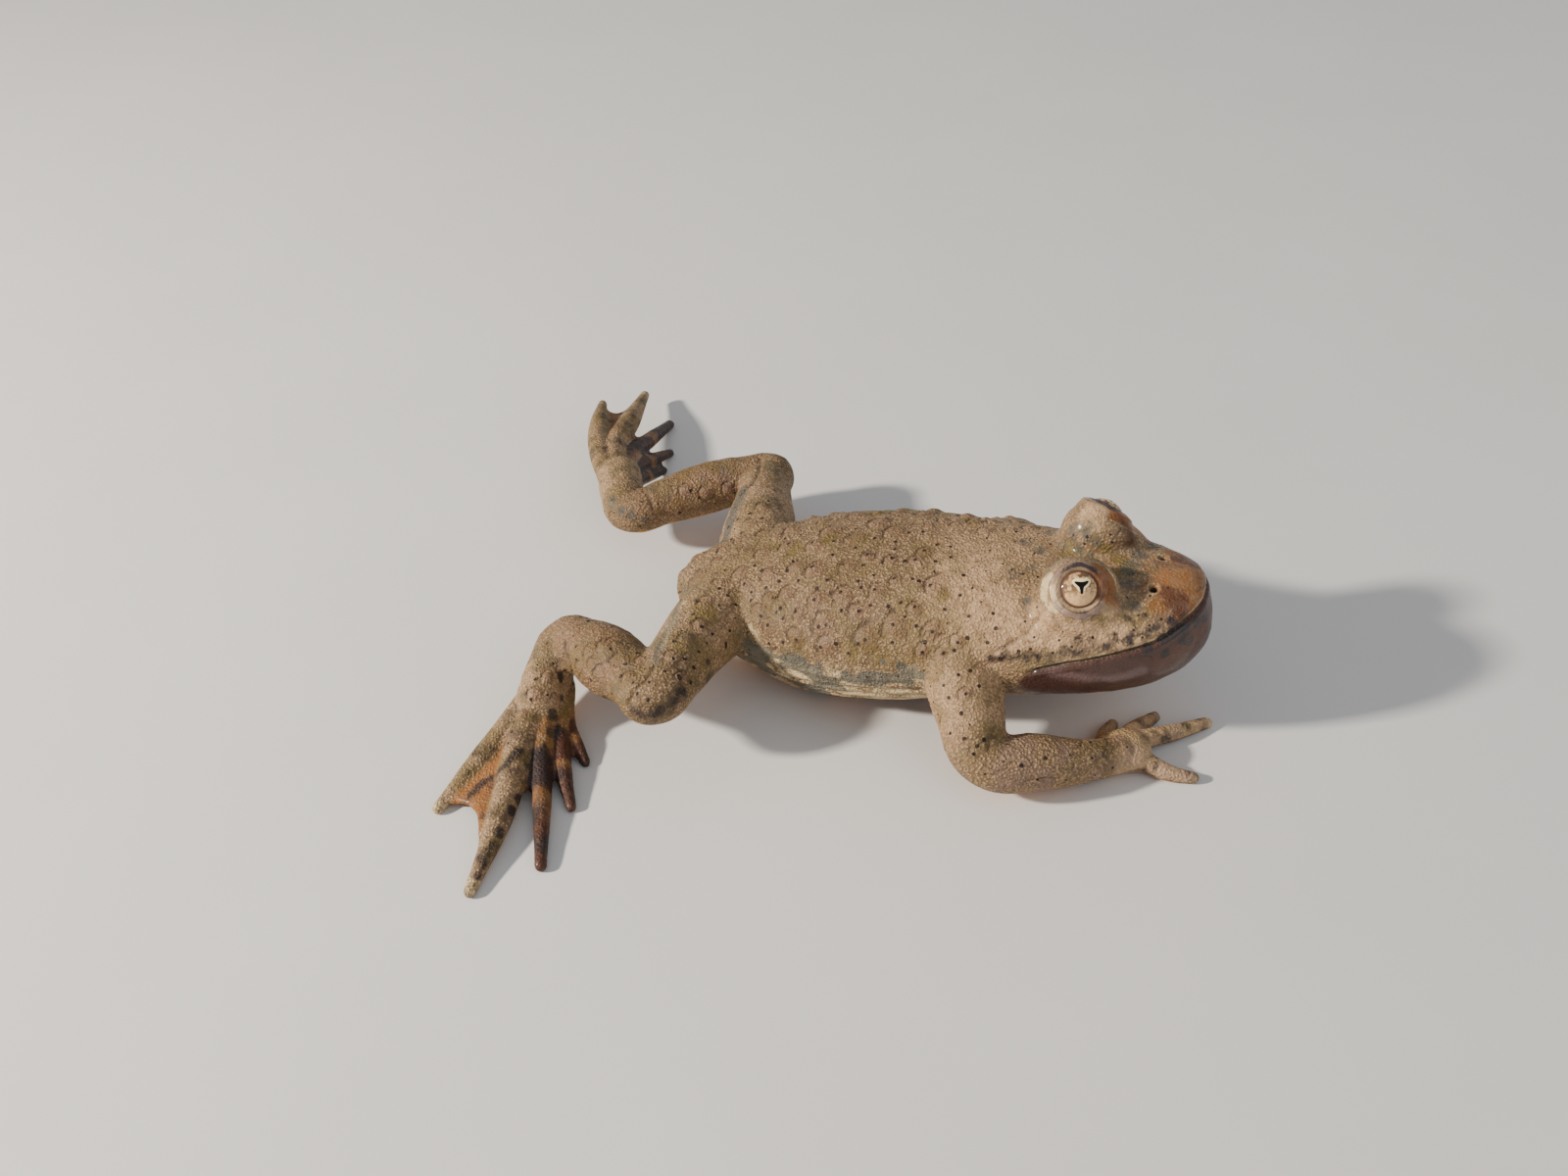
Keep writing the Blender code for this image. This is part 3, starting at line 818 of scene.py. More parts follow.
@dataclass(frozen=True)
class Anatomy:
    """Every form that the skin is fused from, in the pose."""

    spine: Spine = Spine()
    trunk: Trunk = Trunk()
    eye: EyePlace = EyePlace()
    arms: dict[Side, Line] = field(default_factory=lambda: {
        Side.RIGHT: Line((
            (4.7, -3.2, 8.6, 3.0), (4.7, -6.6, 7.8, 3.0), (6.3, -9.9, 5.7, 2.7), (8.0, -12.1, 3.6, 2.25),
            (11.5, -10.9, 2.9, 2.25), (15.2, -8.9, 2.1, 1.7), (17.0, -7.3, 1.6, 1.5),
        )),
        Side.LEFT: Line((
            (4.7, 3.2, 8.8, 3.0), (4.5, 6.8, 8.1, 3.0), (5.2, 10.2, 5.8, 2.7), (6.3, 12.5, 3.6, 2.25),
            (9.9, 12.2, 2.9, 2.25), (13.3, 11.2, 2.1, 1.7), (15.1, 10.5, 1.6, 1.5),
        )),
    })
    legs: dict[Side, Line] = field(default_factory=lambda: {
        Side.RIGHT: Line((
            (-14.4, -1.0, 6.4, 3.0), (-16.5, -4.6, 6.5, 3.4), (-17.2, -9.4, 7.0, 3.0),
            (-17.2, -13.4, 7.4, 2.6), (-17.5, -16.0, 7.3, 2.2), (-20.0, -14.3, 6.9, 2.4),
            (-23.4, -12.2, 6.3, 2.9), (-26.8, -10.4, 5.6, 2.45), (-29.3, -9.4, 4.8, 2.05),
            (-29.7, -11.8, 4.0, 2.05), (-29.4, -14.8, 3.1, 2.0),
        )),
        Side.LEFT: Line((
            (-14.4, 1.0, 6.4, 3.0), (-16.8, 4.4, 6.3, 3.4), (-18.5, 9.2, 6.2, 3.0), (-19.8, 13.6, 6.0, 2.3),
            (-20.3, 15.9, 5.8, 2.0), (-22.6, 14.9, 5.6, 2.2), (-25.9, 13.0, 5.3, 2.45),
            (-29.2, 10.5, 5.0, 2.15), (-31.7, 8.6, 4.8, 2.0), (-33.8, 11.0, 4.8, 2.1),
            (-35.4, 13.7, 4.6, 2.1),
        )),
    })
    hands: dict[Side, Foot] = field(default_factory=lambda: {
        Side.RIGHT: Foot((
            Line(((16.3, -7.6, 1.5, 0.95), (15.7, -5.0, 1.0, 0.7), (15.9, -3.0, 0.4, 0.5))),
            Line(((16.8, -7.4, 1.5, 1.0), (17.6, -3.9, 1.0, 0.72), (18.9, -1.3, 0.4, 0.5))),
            Line(((17.0, -7.4, 1.6, 1.1), (18.7, -4.7, 1.1, 0.85), (20.9, -2.8, 0.75, 0.68),
                  (22.9, -0.9, 0.4, 0.5))),
            Line(((16.9, -7.9, 1.5, 1.05), (18.9, -6.9, 1.0, 0.85), (21.0, -7.2, 0.65, 0.68),
                  (22.9, -7.0, 0.4, 0.5))),
        ), FINGER_DARKNESS),
        Side.LEFT: Foot((
            Line(((14.4, 10.3, 1.5, 0.95), (14.0, 8.5, 1.0, 0.7), (14.3, 6.9, 0.4, 0.5))),
            Line(((14.9, 10.2, 1.5, 1.0), (15.7, 8.8, 1.0, 0.72), (17.2, 7.6, 0.4, 0.5))),
            Line(((15.2, 10.4, 1.6, 1.1), (16.7, 9.9, 1.1, 0.85), (18.4, 9.4, 0.75, 0.68),
                  (20.1, 9.3, 0.4, 0.5))),
            Line(((15.1, 10.8, 1.5, 1.05), (16.5, 11.3, 1.0, 0.85), (18.2, 12.3, 0.65, 0.68),
                  (19.7, 12.9, 0.4, 0.5))),
        ), FINGER_DARKNESS),
    })
    feet: dict[Side, Foot] = field(default_factory=lambda: {
        Side.RIGHT: Foot((
            Line(((-28.4, -12.4, 2.6, 0.9), (-27.0, -15.3, 1.2, 0.75), (-25.3, -17.0, 0.8, 0.6),
                  (-24.0, -18.2, 0.36, 0.45))),
            Line(((-28.7, -12.6, 2.9, 0.95), (-27.0, -16.6, 1.4, 0.85), (-24.7, -20.4, 0.8, 0.7),
                  (-22.9, -22.9, 0.36, 0.45))),
            Line(((-29.0, -12.8, 3.3, 1.0), (-27.8, -18.0, 1.8, 0.95), (-25.2, -23.3, 0.9, 0.8),
                  (-22.4, -29.0, 0.4, 0.5))),
            Line(((-29.4, -12.8, 3.6, 1.05), (-29.2, -18.7, 2.2, 1.2), (-27.5, -25.6, 1.2, 1.05),
                  (-26.5, -32.8, 0.4, 0.5))),
            Line(((-30.1, -12.5, 3.5, 1.0), (-31.1, -18.0, 2.1, 1.1), (-32.2, -22.0, 1.2, 0.95),
                  (-33.4, -26.1, 0.4, 0.5))),
        ), TOE_DARKNESS, TOE_WEBS),
        Side.LEFT: Foot((
            Line(((-34.0, 12.0, 3.9, 0.9), (-35.0, 15.9, 2.6, 0.75), (-34.9, 18.7, 1.4, 0.6),
                  (-34.8, 21.0, 0.36, 0.45))),
            Line(((-34.2, 12.2, 4.1, 0.95), (-35.7, 17.0, 3.2, 0.85), (-35.6, 20.9, 1.7, 0.7),
                  (-35.4, 24.0, 0.36, 0.45))),
            Line(((-34.6, 12.4, 4.4, 1.0), (-36.6, 18.0, 3.8, 0.95), (-37.1, 23.4, 2.2, 0.8),
                  (-37.6, 28.8, 0.4, 0.5))),
            Line(((-35.0, 12.2, 4.7, 1.05), (-38.2, 18.1, 4.5, 1.2), (-39.7, 24.6, 3.4, 1.05),
                  (-41.5, 31.4, 1.9, 0.5))),
            Line(((-35.6, 12.0, 4.8, 1.0), (-39.6, 17.6, 4.9, 1.1), (-41.6, 21.6, 4.7, 0.95),
                  (-43.3, 25.6, 4.2, 0.5))),
        ), TOE_DARKNESS, TOE_WEBS),
    })
    bulge_radii: Triple = (3.15, 2.55, 2.6)
    bulge_sink: float = 0.5
    bulge_forward: float = 0.4
    brow_radii: Triple = (3.6, 2.9, 2.2)
    brow_drop: float = 1.3
    lid_ring: float = 2.0
    lid_thickness: float = 0.46
    lid_rise: float = 1.15
    palm_radii: Triple = (2.0, 2.1, 1.2)
    palm_share: float = 0.35

    def add_to(self, forms: Forms) -> None:
        """Adds every form.

        Args:
            forms: Where they go.
        """
        self.trunk.add_to(forms)
        for side in Side:
            flip = np.array([1, side.value, 1])
            centre, gaze = np.array(self.eye.centre) * flip, np.array(self.eye.gaze) * flip
            gaze = gaze / np.linalg.norm(gaze)
            bulge_at = centre - gaze * self.bulge_sink + (self.bulge_forward, 0, 0)
            forms.ball(bulge_at, self.bulge_radii, straight=True)
            forms.ball(centre - (0, 0, self.brow_drop), self.brow_radii, straight=True)
            forms.ring(centre + gaze * self.lid_rise, gaze, self.lid_ring, self.lid_thickness)
            forms.tube(self.arms[side])
            forms.tube(self.legs[side])
            wrist = Vector(self.arms[side].knots[-1][:3])
            knuckle = Vector(self.hands[side].digits[2].knots[1][:3])
            forms.ball(wrist.lerp(knuckle, self.palm_share), self.palm_radii)
            self.hands[side].add_to(forms)
            self.feet[side].add_to(forms)


class SkinField:
    """The skin's points with the maps that sculpting and painting share."""

    digit_step = 1.7
    warp_parts = ((31, 0.5, 0.75), (32, 0.35, 0.33))

    def __init__(self, mesh: Mesh, anatomy: Anatomy, camera: PhotoCamera) -> None:
        """Measures a mesh against the anatomy.

        Args:
            mesh: The skin's mesh, in the source's frame.
            anatomy: The forms it was fused from.
            camera: The photograph's camera.
        """
        self.points = read_points(mesh)
        self.normals = read_normals(mesh)
        self.count = len(self.points)
        self.straight = anatomy.spine.unbend(self.points)
        self.x = self.straight[:, 0]
        self.down = -self.normals[:, 2]
        self.pixels, self.depths = camera.project(self.points)
        sight = camera.place - self.points
        self.facing = (self.normals * sight).sum(axis=1) / np.linalg.norm(sight, axis=1)
        self.rise = np.zeros(self.count)
        self.tints = {tint: np.zeros(self.count) for tint in Tint}
        self.tree = kdtree.KDTree(self.count)
        for index, point in enumerate(self.points.tolist()):
            self.tree.insert(point, index)
        self.tree.balance()
        self.trunk_gap = anatomy.trunk.gap(self.straight)
        self.arm = {side: line.measure(self.points) for side, line in anatomy.arms.items()}
        self.leg = {side: line.measure(self.points) for side, line in anatomy.legs.items()}
        self.digit_gap = np.full(self.count, np.inf)
        self.digit_share = np.zeros(self.count)
        self.digit_along = np.zeros(self.count)
        self.digit_dark = np.zeros(self.count)
        self.foot_gap = np.full(self.count, np.inf)
        self.hand_gap = np.full(self.count, np.inf)
        for feet in (anatomy.hands, anatomy.feet):
            for foot in feet.values():
                self.measure_foot(foot, webbed=feet is anatomy.feet)
        limbs = [gap for gap, _ in (*self.arm.values(), *self.leg.values())]
        self.limb_gap = np.minimum.reduce(limbs)
        self.trunk_share = ease(-0.6, 0.6, np.minimum(self.limb_gap, self.digit_gap) - self.trunk_gap)
        self.warp = np.zeros(self.count)
        for seed, share, wavelength in self.warp_parts:
            self.warp += share * self.noise(seed, wavelength)
        self.digit = ease(0.0, 0.5, np.minimum(self.limb_gap, self.trunk_gap) - self.digit_gap)

    def measure_foot(self, foot: Foot, webbed: bool) -> None:
        """Notes where the points lie against one hand or foot.

        Args:
            foot: The hand or foot.
            webbed: Whether it has webs.
        """
        for number, (line, dark) in enumerate(zip(foot.digits, foot.darkness)):
            gap, along = line.measure(self.points)
            nearer = gap < self.digit_gap
            self.digit_gap = np.where(nearer, gap, self.digit_gap)
            self.digit_along = np.where(nearer, along + self.digit_step * number, self.digit_along)
            self.digit_share = np.where(nearer, along / line.length, self.digit_share)
            self.digit_dark = np.where(nearer, dark, self.digit_dark)
            if webbed:
                self.foot_gap = np.minimum(self.foot_gap, gap)
            else:
                self.hand_gap = np.minimum(self.hand_gap, gap)

    def noise(self, seed: int, wavelength: float, stretch: Triple = (1.0, 1.0, 1.0)) -> Array:
        """Reads one of the seeded noises at the points."""
        return LatticeNoise(seed).sample(self.points * stretch, wavelength)

    def near(self, centre: Array, radius: float) -> tuple[Array, Array]:
        """The numbers of the points near a place, and their distances from it."""
        found = self.tree.find_range(centre, radius)
        return np.array([item[1] for item in found], int), np.array([item[2] for item in found])

    def pick(self, pixel: Pixel) -> Array:
        """Finds the skin that the photograph shows at a pixel.

        Args:
            pixel: The pixel.

        Returns:
            The place on the skin.
        """
        off = np.hypot(self.pixels[:, 0] - pixel[0], self.pixels[:, 1] - pixel[1])
        close = np.flatnonzero(off < PICK_PIXELS)
        chosen = close[self.depths[close].argmin()] if len(close) else off.argmin()
        return self.points[chosen]

    def snap(self, place: Array) -> Array:
        """The nearest place on the skin."""
        return self.points[self.tree.find(place)[1]]

    def mirror(self, place: Array, spine: Spine) -> Array:
        """The same place on the other side of the body."""
        return self.snap(spine.bend(spine.unbend(place[None]) * (1, -1, 1))[0])

    def dab(self, tint: Tint, centre: Array, radius: float, strength: float = 1.0) -> None:
        """Lays a soft round spot of a tint.

        Args:
            tint: The tint's map.
            centre: The spot's middle.
            radius: Where it ends.
            strength: Its value in the middle.
        """
        index, away = self.near(centre, 1.5 * radius)
        if len(index):
            share = away / radius * (1 + 0.75 * self.warp[index])
            self.put(tint, index, strength * (1 - ease(0.35, 1.05, share)))

    def trace(self, path: tuple[Pixel, ...], reach: float) -> tuple[Array, Array]:
        """Follows a line of pixels over the skin.

        Args:
            path: The line.
            reach: How far to either side to look.

        Returns:
            The points near it and their distances from it.
        """
        curve = curve_through(np.array([self.pick(pixel) for pixel in path]), TRACE_SPACING)
        away = np.full(self.count, np.inf)
        for place in curve:
            index, here = self.near(place, reach)
            if len(index):
                away[index] = np.minimum(away[index], here)
        index = np.flatnonzero(np.isfinite(away))
        return index, away[index]

    def add(self, tint: Tint, values: Array) -> None:
        """Raises a tint's whole map to values where they are higher."""
        self.tints[tint] = np.maximum(self.tints[tint], values)

    def put(self, tint: Tint, index: Array, values: Array) -> None:
        """Raises a tint's map at some points to values where they are higher."""
        self.tints[tint][index] = np.maximum(self.tints[tint][index], values)


@dataclass(frozen=True)
class Stroke:
    """A line of pixels that is painted or cut into the skin."""

    path: tuple[Pixel, ...]
    width: float
    strength: float
    # By default a stroke paints shade into the groove that it cuts.
    tint: Tint = Tint.CREASE
    depth: float = 0.0

    def lay(self, skin: SkinField) -> None:
        """Paints the stroke and cuts its groove.

        Args:
            skin: The skin.
        """
        index, away = skin.trace(self.path, 2.2 * self.width)
        skin.rise[index] -= self.depth * bell(away, self.width)
        skin.put(self.tint, index, self.strength * bell(away * (1 + 0.6 * skin.warp[index]), self.width))


@dataclass(frozen=True)
class Spots:
    """Round spots of one tint at pixels, each with its radius."""

    tint: Tint
    strength: float
    places: tuple[Triple, ...]
    mirrored: bool = False

    def lay(self, skin: SkinField, spine: Spine) -> None:
        """Paints the spots.

        Args:
            skin: The skin.
            spine: The spine, for the spots' twins on the other side.
        """
        for u, v, radius in self.places:
            place = skin.pick((u, v))
            skin.dab(self.tint, place, radius, self.strength)
            if self.mirrored:
                skin.dab(self.tint, skin.mirror(place, spine), radius, self.strength)


@dataclass(frozen=True)
class Warts:
    """Low warts and pores read from the photograph, and more of both strewn between and beyond them."""

    large: tuple[Triple, ...] = (
        (755, 584, 0.85), (785, 585, 0.95), (812, 577, 0.85), (833, 581, 1.1), (865, 577, 0.9),
        (802, 604, 0.9), (784, 612, 0.85), (832, 613, 0.95), (861, 607, 1.05), (896, 602, 0.95),
        (915, 591, 0.65), (957, 596, 1.25), (841, 639, 1.2), (815, 626, 0.7), (874, 623, 0.8),
        (913, 639, 1.2), (885, 654, 1.35), (953, 643, 1.05), (933, 621, 0.75), (811, 651, 0.9),
        (843, 660, 1.0), (747, 568, 0.8), (778, 562, 0.9), (802, 556, 0.85), (849, 541, 1.2),
        (874, 548, 1.1), (831, 556, 0.85), (900, 531, 1.15), (915, 540, 1.0), (876, 523, 1.0),
        (923, 517, 0.9), (731, 570, 0.65), (760, 594, 0.65), (713, 586, 0.8), (706, 594, 0.7),
        (886, 566, 0.75), (909, 570, 0.75), (935, 570, 0.7), (772, 621, 0.65), (784, 641, 0.8),
        (945, 562, 0.85), (960, 668, 0.7), (941, 666, 0.7), (976, 655, 0.7), (603, 680, 0.8),
        (721, 612, 0.8), (735, 592, 0.7), (628, 652, 0.7), (984, 708, 0.6),
        (600, 665, 0.9), (617, 656, 0.8), (633, 671, 0.9), (611, 689, 0.85), (641, 689, 0.75),
        (589, 682, 0.7), (654, 673, 0.65), (577, 663, 0.75), (561, 690, 0.7), (546, 706, 0.75),
        (569, 714, 0.6), (532, 728, 0.65), (688, 668, 0.8), (702, 650, 0.8), (717, 636, 0.75),
        (700, 690, 0.65), (722, 504, 0.7), (700, 499, 0.7), (745, 500, 0.7), (765, 532, 0.8),
        (780, 515, 0.75), (754, 549, 0.65),
    )
    large_height: float = 0.15
    strewn: int = 90
    strewn_height: float = 0.065
    contour_gain: float = 1.8
    rear: Triple = (-0.93, 0.3, 0.2)
    back_pores: tuple[Pixel, ...] = (
        (828, 578), (861, 574), (844, 591), (890, 585), (913, 589), (931, 589), (938, 591), (949, 596),
        (979, 606), (918, 614), (932, 619), (892, 600), (857, 603), (830, 612), (857, 623), (875, 623),
        (810, 624), (835, 638), (842, 638), (910, 638), (951, 643), (882, 653), (874, 657), (865, 668),
        (836, 660), (852, 658), (812, 653), (783, 638), (783, 657), (798, 657), (798, 630), (775, 627),
        (791, 624), (796, 619), (780, 599), (759, 595), (769, 576), (794, 592), (776, 580), (750, 581),
        (742, 606), (753, 617), (765, 612), (766, 603), (739, 581), (731, 561), (733, 599), (734, 616),
        (808, 571), (803, 580), (829, 554), (850, 551), (804, 555), (801, 548), (850, 565), (885, 565),
        (910, 569), (901, 571), (923, 571), (934, 571), (953, 571), (971, 567), (983, 586), (962, 621),
        (987, 628), (886, 617), (905, 618), (934, 638), (909, 655), (942, 655), (986, 652), (976, 656),
        (940, 666), (962, 666), (872, 557), (892, 548), (913, 551), (912, 559), (942, 561), (942, 541),
        (927, 542), (905, 529), (873, 538), (877, 598), (874, 591), (880, 574), (833, 599), (814, 592),
        (956, 554), (969, 556), (973, 662), (1012, 625), (1015, 640), (1006, 657), (1021, 674), (1038, 665),
    )
    head_pores: tuple[Pixel, ...] = (
        (1116, 515), (1128, 524), (1135, 531), (1143, 535), (1132, 547), (1134, 555), (1108, 549),
        (1106, 556), (1094, 546), (1078, 538), (1070, 534), (1059, 543), (1045, 531), (1037, 541),
        (1036, 551), (1071, 554), (1055, 563), (1033, 580), (1044, 584), (1045, 633), (1056, 620),
        (1083, 647), (1104, 642), (1079, 654), (1054, 652), (1115, 653), (1130, 637), (1144, 631),
        (1152, 608), (1161, 626), (1172, 637), (1155, 642), (1165, 652), (1185, 630), (1092, 660),
        (1050, 663), (1057, 671),
    )
    limb_pores: tuple[Pixel, ...] = (
        (989, 683), (976, 688), (1000, 699), (984, 708), (967, 713), (962, 698), (979, 729), (968, 749),
        (1005, 754), (996, 760), (983, 755), (1067, 772), (1043, 780), (992, 770), (729, 646), (746, 643),
        (742, 660), (709, 681), (688, 671), (695, 692), (713, 612), (707, 625), (746, 549), (756, 543),
        (742, 537), (765, 522), (777, 527), (785, 510), (715, 509), (706, 499), (694, 525), (751, 529),
        (623, 660), (613, 653), (586, 660), (644, 643), (601, 694), (631, 690), (623, 708), (615, 713),
        (637, 677), (652, 665), (645, 696), (650, 706), (678, 683), (662, 695), (660, 715), (688, 653),
        (701, 672), (694, 689), (710, 682), (707, 696), (742, 657), (716, 639), (714, 664), (541, 712),
        (547, 691), (523, 735), (517, 758), (521, 746),
    )
    strewn_pores: int = 520
    strewn_radii: Pair = (0.5, 1.0)
    shrunk_ahead: float = 0.75
    body_pore: Pair = (0.14, 0.19)
    head_pore: Pair = (0.1, 0.14)
    faint_pore: Pair = (0.08, 0.12)
    strewn_pore: Pair = (0.1, 0.18)
    pore_spacings: tuple[float, ...] = (1.0, 1.3, 1.7, 2.3)
    pore_height: float = 0.05
    pore_width: float = 0.28
    pore_reach: float = 0.62
    pit_depth: float = 0.05
    pit_width: float = 0.11
    wart_tries: int = 6000
    pore_tries: int = 9000
    seed: int = 11

    def shape(self, skin: SkinField) -> None:
        """Raises the warts and sets the pores.

        Args:
            skin: The skin.
        """
        rng = random.Random(self.seed)
        placed = [(skin.pick((u, v)), radius) for u, v, radius in self.large]
        for centre, radius in placed:
            self.raise_wart(skin, centre, radius, self.large_height)
        for centre, radius in self.strew(skin, rng, placed):
            index, _ = skin.near(centre, 0.3)
            contour = ease(0.6, 0.35, skin.facing[index].mean())
            self.raise_wart(skin, centre, radius, self.strewn_height * (1 + self.contour_gain * contour))
        self.set_pores(skin, rng)

    def raise_wart(self, skin: SkinField, centre: Array, radius: float, height: float) -> None:
        """Raises one wart with a groove round its rear, darkened with painted shade.

        Args:
            skin: The skin.
            centre: The wart's middle.
            radius: Its radius.
            height: Its height.
        """
        index, away = skin.near(centre, 1.7 * radius)
        toward = (skin.points[index] - centre) @ np.array(self.rear) / np.maximum(away, TINY)
        share = away / radius * (1 + 0.35 * skin.warp[index])
        # The groove round the wart's rear, cut in and darkened with painted shade.
        rim = bell(share - 1.0, 0.14) * ease(0.0, 0.75, toward)
        skin.rise[index] += height * (1 - ease(0.15, 1.1, share)) - 0.6 * height * rim
        strength = min(1.0, 6 * height)
        skin.put(Tint.CREASE, index, strength ** 2 * rim)
        skin.put(Tint.WART, index, strength * (1 - ease(0.5, 1.05, share)))

    def strew(self, skin: SkinField, rng: random.Random, placed: list[Wart]) -> list[Wart]:
        """Chooses places for the smaller warts of the back.

        Args:
            skin: The skin.
            rng: The source of chance.
            placed: The warts that are there already.

        Returns:
            The new warts' middles and radii.
        """
        along = (skin.x > -22.0) & (skin.x < 9.0)
        back = np.flatnonzero((skin.trunk_gap < 0.6) & (skin.down < 0.05) & along)
        taken = list(placed)
        made = []
        for _ in range(self.wart_tries):
            if len(made) == self.strewn:
                break
            spot = skin.points[back[rng.randrange(len(back))]]
            scale = 1.0 if spot[0] < 2.0 else self.shrunk_ahead
            radius = rng.uniform(*self.strewn_radii) * scale
            if all(np.linalg.norm(spot - other) > radius + size for other, size in taken):
                taken.append((spot, radius))
                made.append((spot, radius))
        return made

    def set_pores(self, skin: SkinField, rng: random.Random) -> None:
        """Sets dark horny points where the photograph shows them, and strews more between and beyond.

        Args:
            skin: The skin.
            rng: The source of chance.
        """
        seen = self.back_pores + self.head_pores + self.limb_pores
        taken = np.array([skin.pick(pixel) for pixel in seen])
        for pixel, spot in zip(seen, taken):
            sizes = self.head_pore if pixel in self.head_pores else self.body_pore
            self.set_pore(skin, spot, rng.uniform(*sizes))
        smooth = np.maximum(skin.tints[Tint.PLUM], skin.tints[Tint.SMOOTH])
        upper = np.flatnonzero((skin.down < 0.12) & (skin.digit < 0.3) & (smooth < 0.5))
        for _ in range(self.pore_tries):
            if len(taken) >= self.strewn_pores:
                break
            index = upper[rng.randrange(len(upper))]
            spot = skin.points[index]
            if np.linalg.norm(taken - spot, axis=1).min() < rng.choice(self.pore_spacings):
                continue
            taken = np.vstack([taken, spot])
            sizes = self.faint_pore if skin.facing[index] > 0.3 else self.strewn_pore
            self.set_pore(skin, spot, rng.uniform(*sizes))

    def set_pore(self, skin: SkinField, spot: Array, size: float) -> None:
        """Raises a small cone round a dark point.

        Args:
            skin: The skin.
            spot: The point's place.
            size: The dark point's radius.
        """
        index, away = skin.near(spot, self.pore_reach)
        cone = self.pore_height * bell(away, self.pore_width)
        skin.rise[index] += cone - self.pit_depth * bell(away, self.pit_width)
        skin.put(Tint.PORE, index, np.clip(1 - away / (3 * size), 0, 1))


@dataclass(frozen=True)
class Lids:
    """The lids round each eye, as radii over the eye's middle against the angle from the gaze."""

    opening: float = 38.5
    socket_radius: float = 1.72
    rim_radius: float = 2.36
    crest_radius: float = 2.62
    groove_radius: float = 2.5
    rim_angle: float = 4.5
    crest_angle: float = 16.0
    groove_angle: float = 28.0
    fade_angle: float = 50.0
    upper_drop: float = 0.16
    reach: Pair = (3.2, 4.3)

    def shape(self, skin: SkinField, eye: EyePlace, spine: Spine) -> None:
        """Opens the lids and rolls their rims.

        Args:
            skin: The skin.
            eye: Where the eyes sit.
            spine: The spine that carries the head.
        """
        near, far = self.reach
        for side in Side:
            centre, gaze = eye.in_pose(side, spine)
            index, away = skin.near(centre, far)
            offset = skin.points[index] - centre
            angle = np.arccos(np.clip(offset @ gaze / away, -1, 1))
            height = (offset @ upright(gaze)) / np.maximum(away * np.sin(angle), TINY)
            turn = np.degrees(angle) - self.opening
            marks = [-60.0, -1.2, self.rim_angle, self.crest_angle, self.groove_angle, self.fade_angle]
            radii = [self.socket_radius, self.socket_radius, self.rim_radius, self.crest_radius,
                     self.groove_radius, self.groove_radius]
            drop = self.upper_drop * ease(0.0, 0.8, height) * ease(0.0, 12.0, turn)
            wanted = np.interp(turn, marks, radii) - drop
            hold = (1 - ease(self.crest_angle, self.fade_angle, turn)) * (1 - ease(near, far, away))
            reach = away + (wanted - away) * hold
            self.paint(skin, index, turn, height, offset[:, 0] / away)
            skin.points[index] = centre + offset * (reach / away)[:, None]

    @staticmethod
    def paint(skin: SkinField, index: Array, turn: Array, height: Array, ahead: Array) -> None:
        """Tints the lids and the front of the eye's bulge, with painted shade along the upper lid's edge
        and in the lids' creases.

        Args:
            skin: The skin.
            index: The numbers of the points round the eye.
            turn: Their angle past the opening's edge, in degrees.
            height: How far up the lid they are, from -1 to 1.
            ahead: How far they lie towards the snout, from -1 to 1.
        """
        upper = ease(0.0, 0.6, height)
        lower = ease(0.0, 0.6, -height)
        rear = ease(0.12, -0.25, ahead)
        front = ease(0.32, 0.6, ahead) * ease(-0.7, -0.35, height)
        ragged = 3.0 * skin.warp[index]
        skin.put(Tint.ROSY, index, (1 - 0.8 * upper) * (1 - ease(25.0, 42.0, turn)))
        skin.put(Tint.CREAM, index, 0.85 * rear * bell(turn - 12.0, 5.0) * (1 - 0.7 * upper))
        skin.put(Tint.AMBER, index, 1.7 * front * (1 - ease(27.0, 40.0, turn + ragged)))
        skin.put(Tint.MAUVE, index, 0.75 * upper * bell(turn - 13.0, 5.0) * (1 - 0.9 * front))
        skin.put(Tint.MAUVE, index, lower * bell(turn - 14.0, 5.0) * (1 - front))
        skin.put(Tint.RUST, index, front * (0.8 * bell(turn - 6.0, 5.0) + 0.55 * bell(turn - 20.0, 10.0)))
        skin.put(Tint.CREAM, index, 0.6 * front * bell(turn - 37.0, 1.8) * ease(-0.5, 0.0, height))
        # Painted shade along the upper lid's edge.
        skin.put(Tint.DARK, index, 1.2 * upper * bell(turn - 10.0, 5.5) * ease(-0.8, 0.1, ahead)
                 * (1 - 0.8 * ease(0.45, 0.75, ahead)))
        # Painted shade round the opening's edge and in the lids' creases.
        skin.put(Tint.CREASE, index, 0.75 * (1 - ease(0.4, 3.0, turn)))
        skin.put(Tint.CREASE, index, 0.8 * lower * bell(turn - 7.0, 1.8))
        skin.put(Tint.CREASE, index, 0.75 * rear * (bell(turn - 6.5, 1.6) + bell(turn - 19.0, 1.8)))
        skin.put(Tint.SMOOTH, index, 1 - ease(16.0, 34.0, turn))


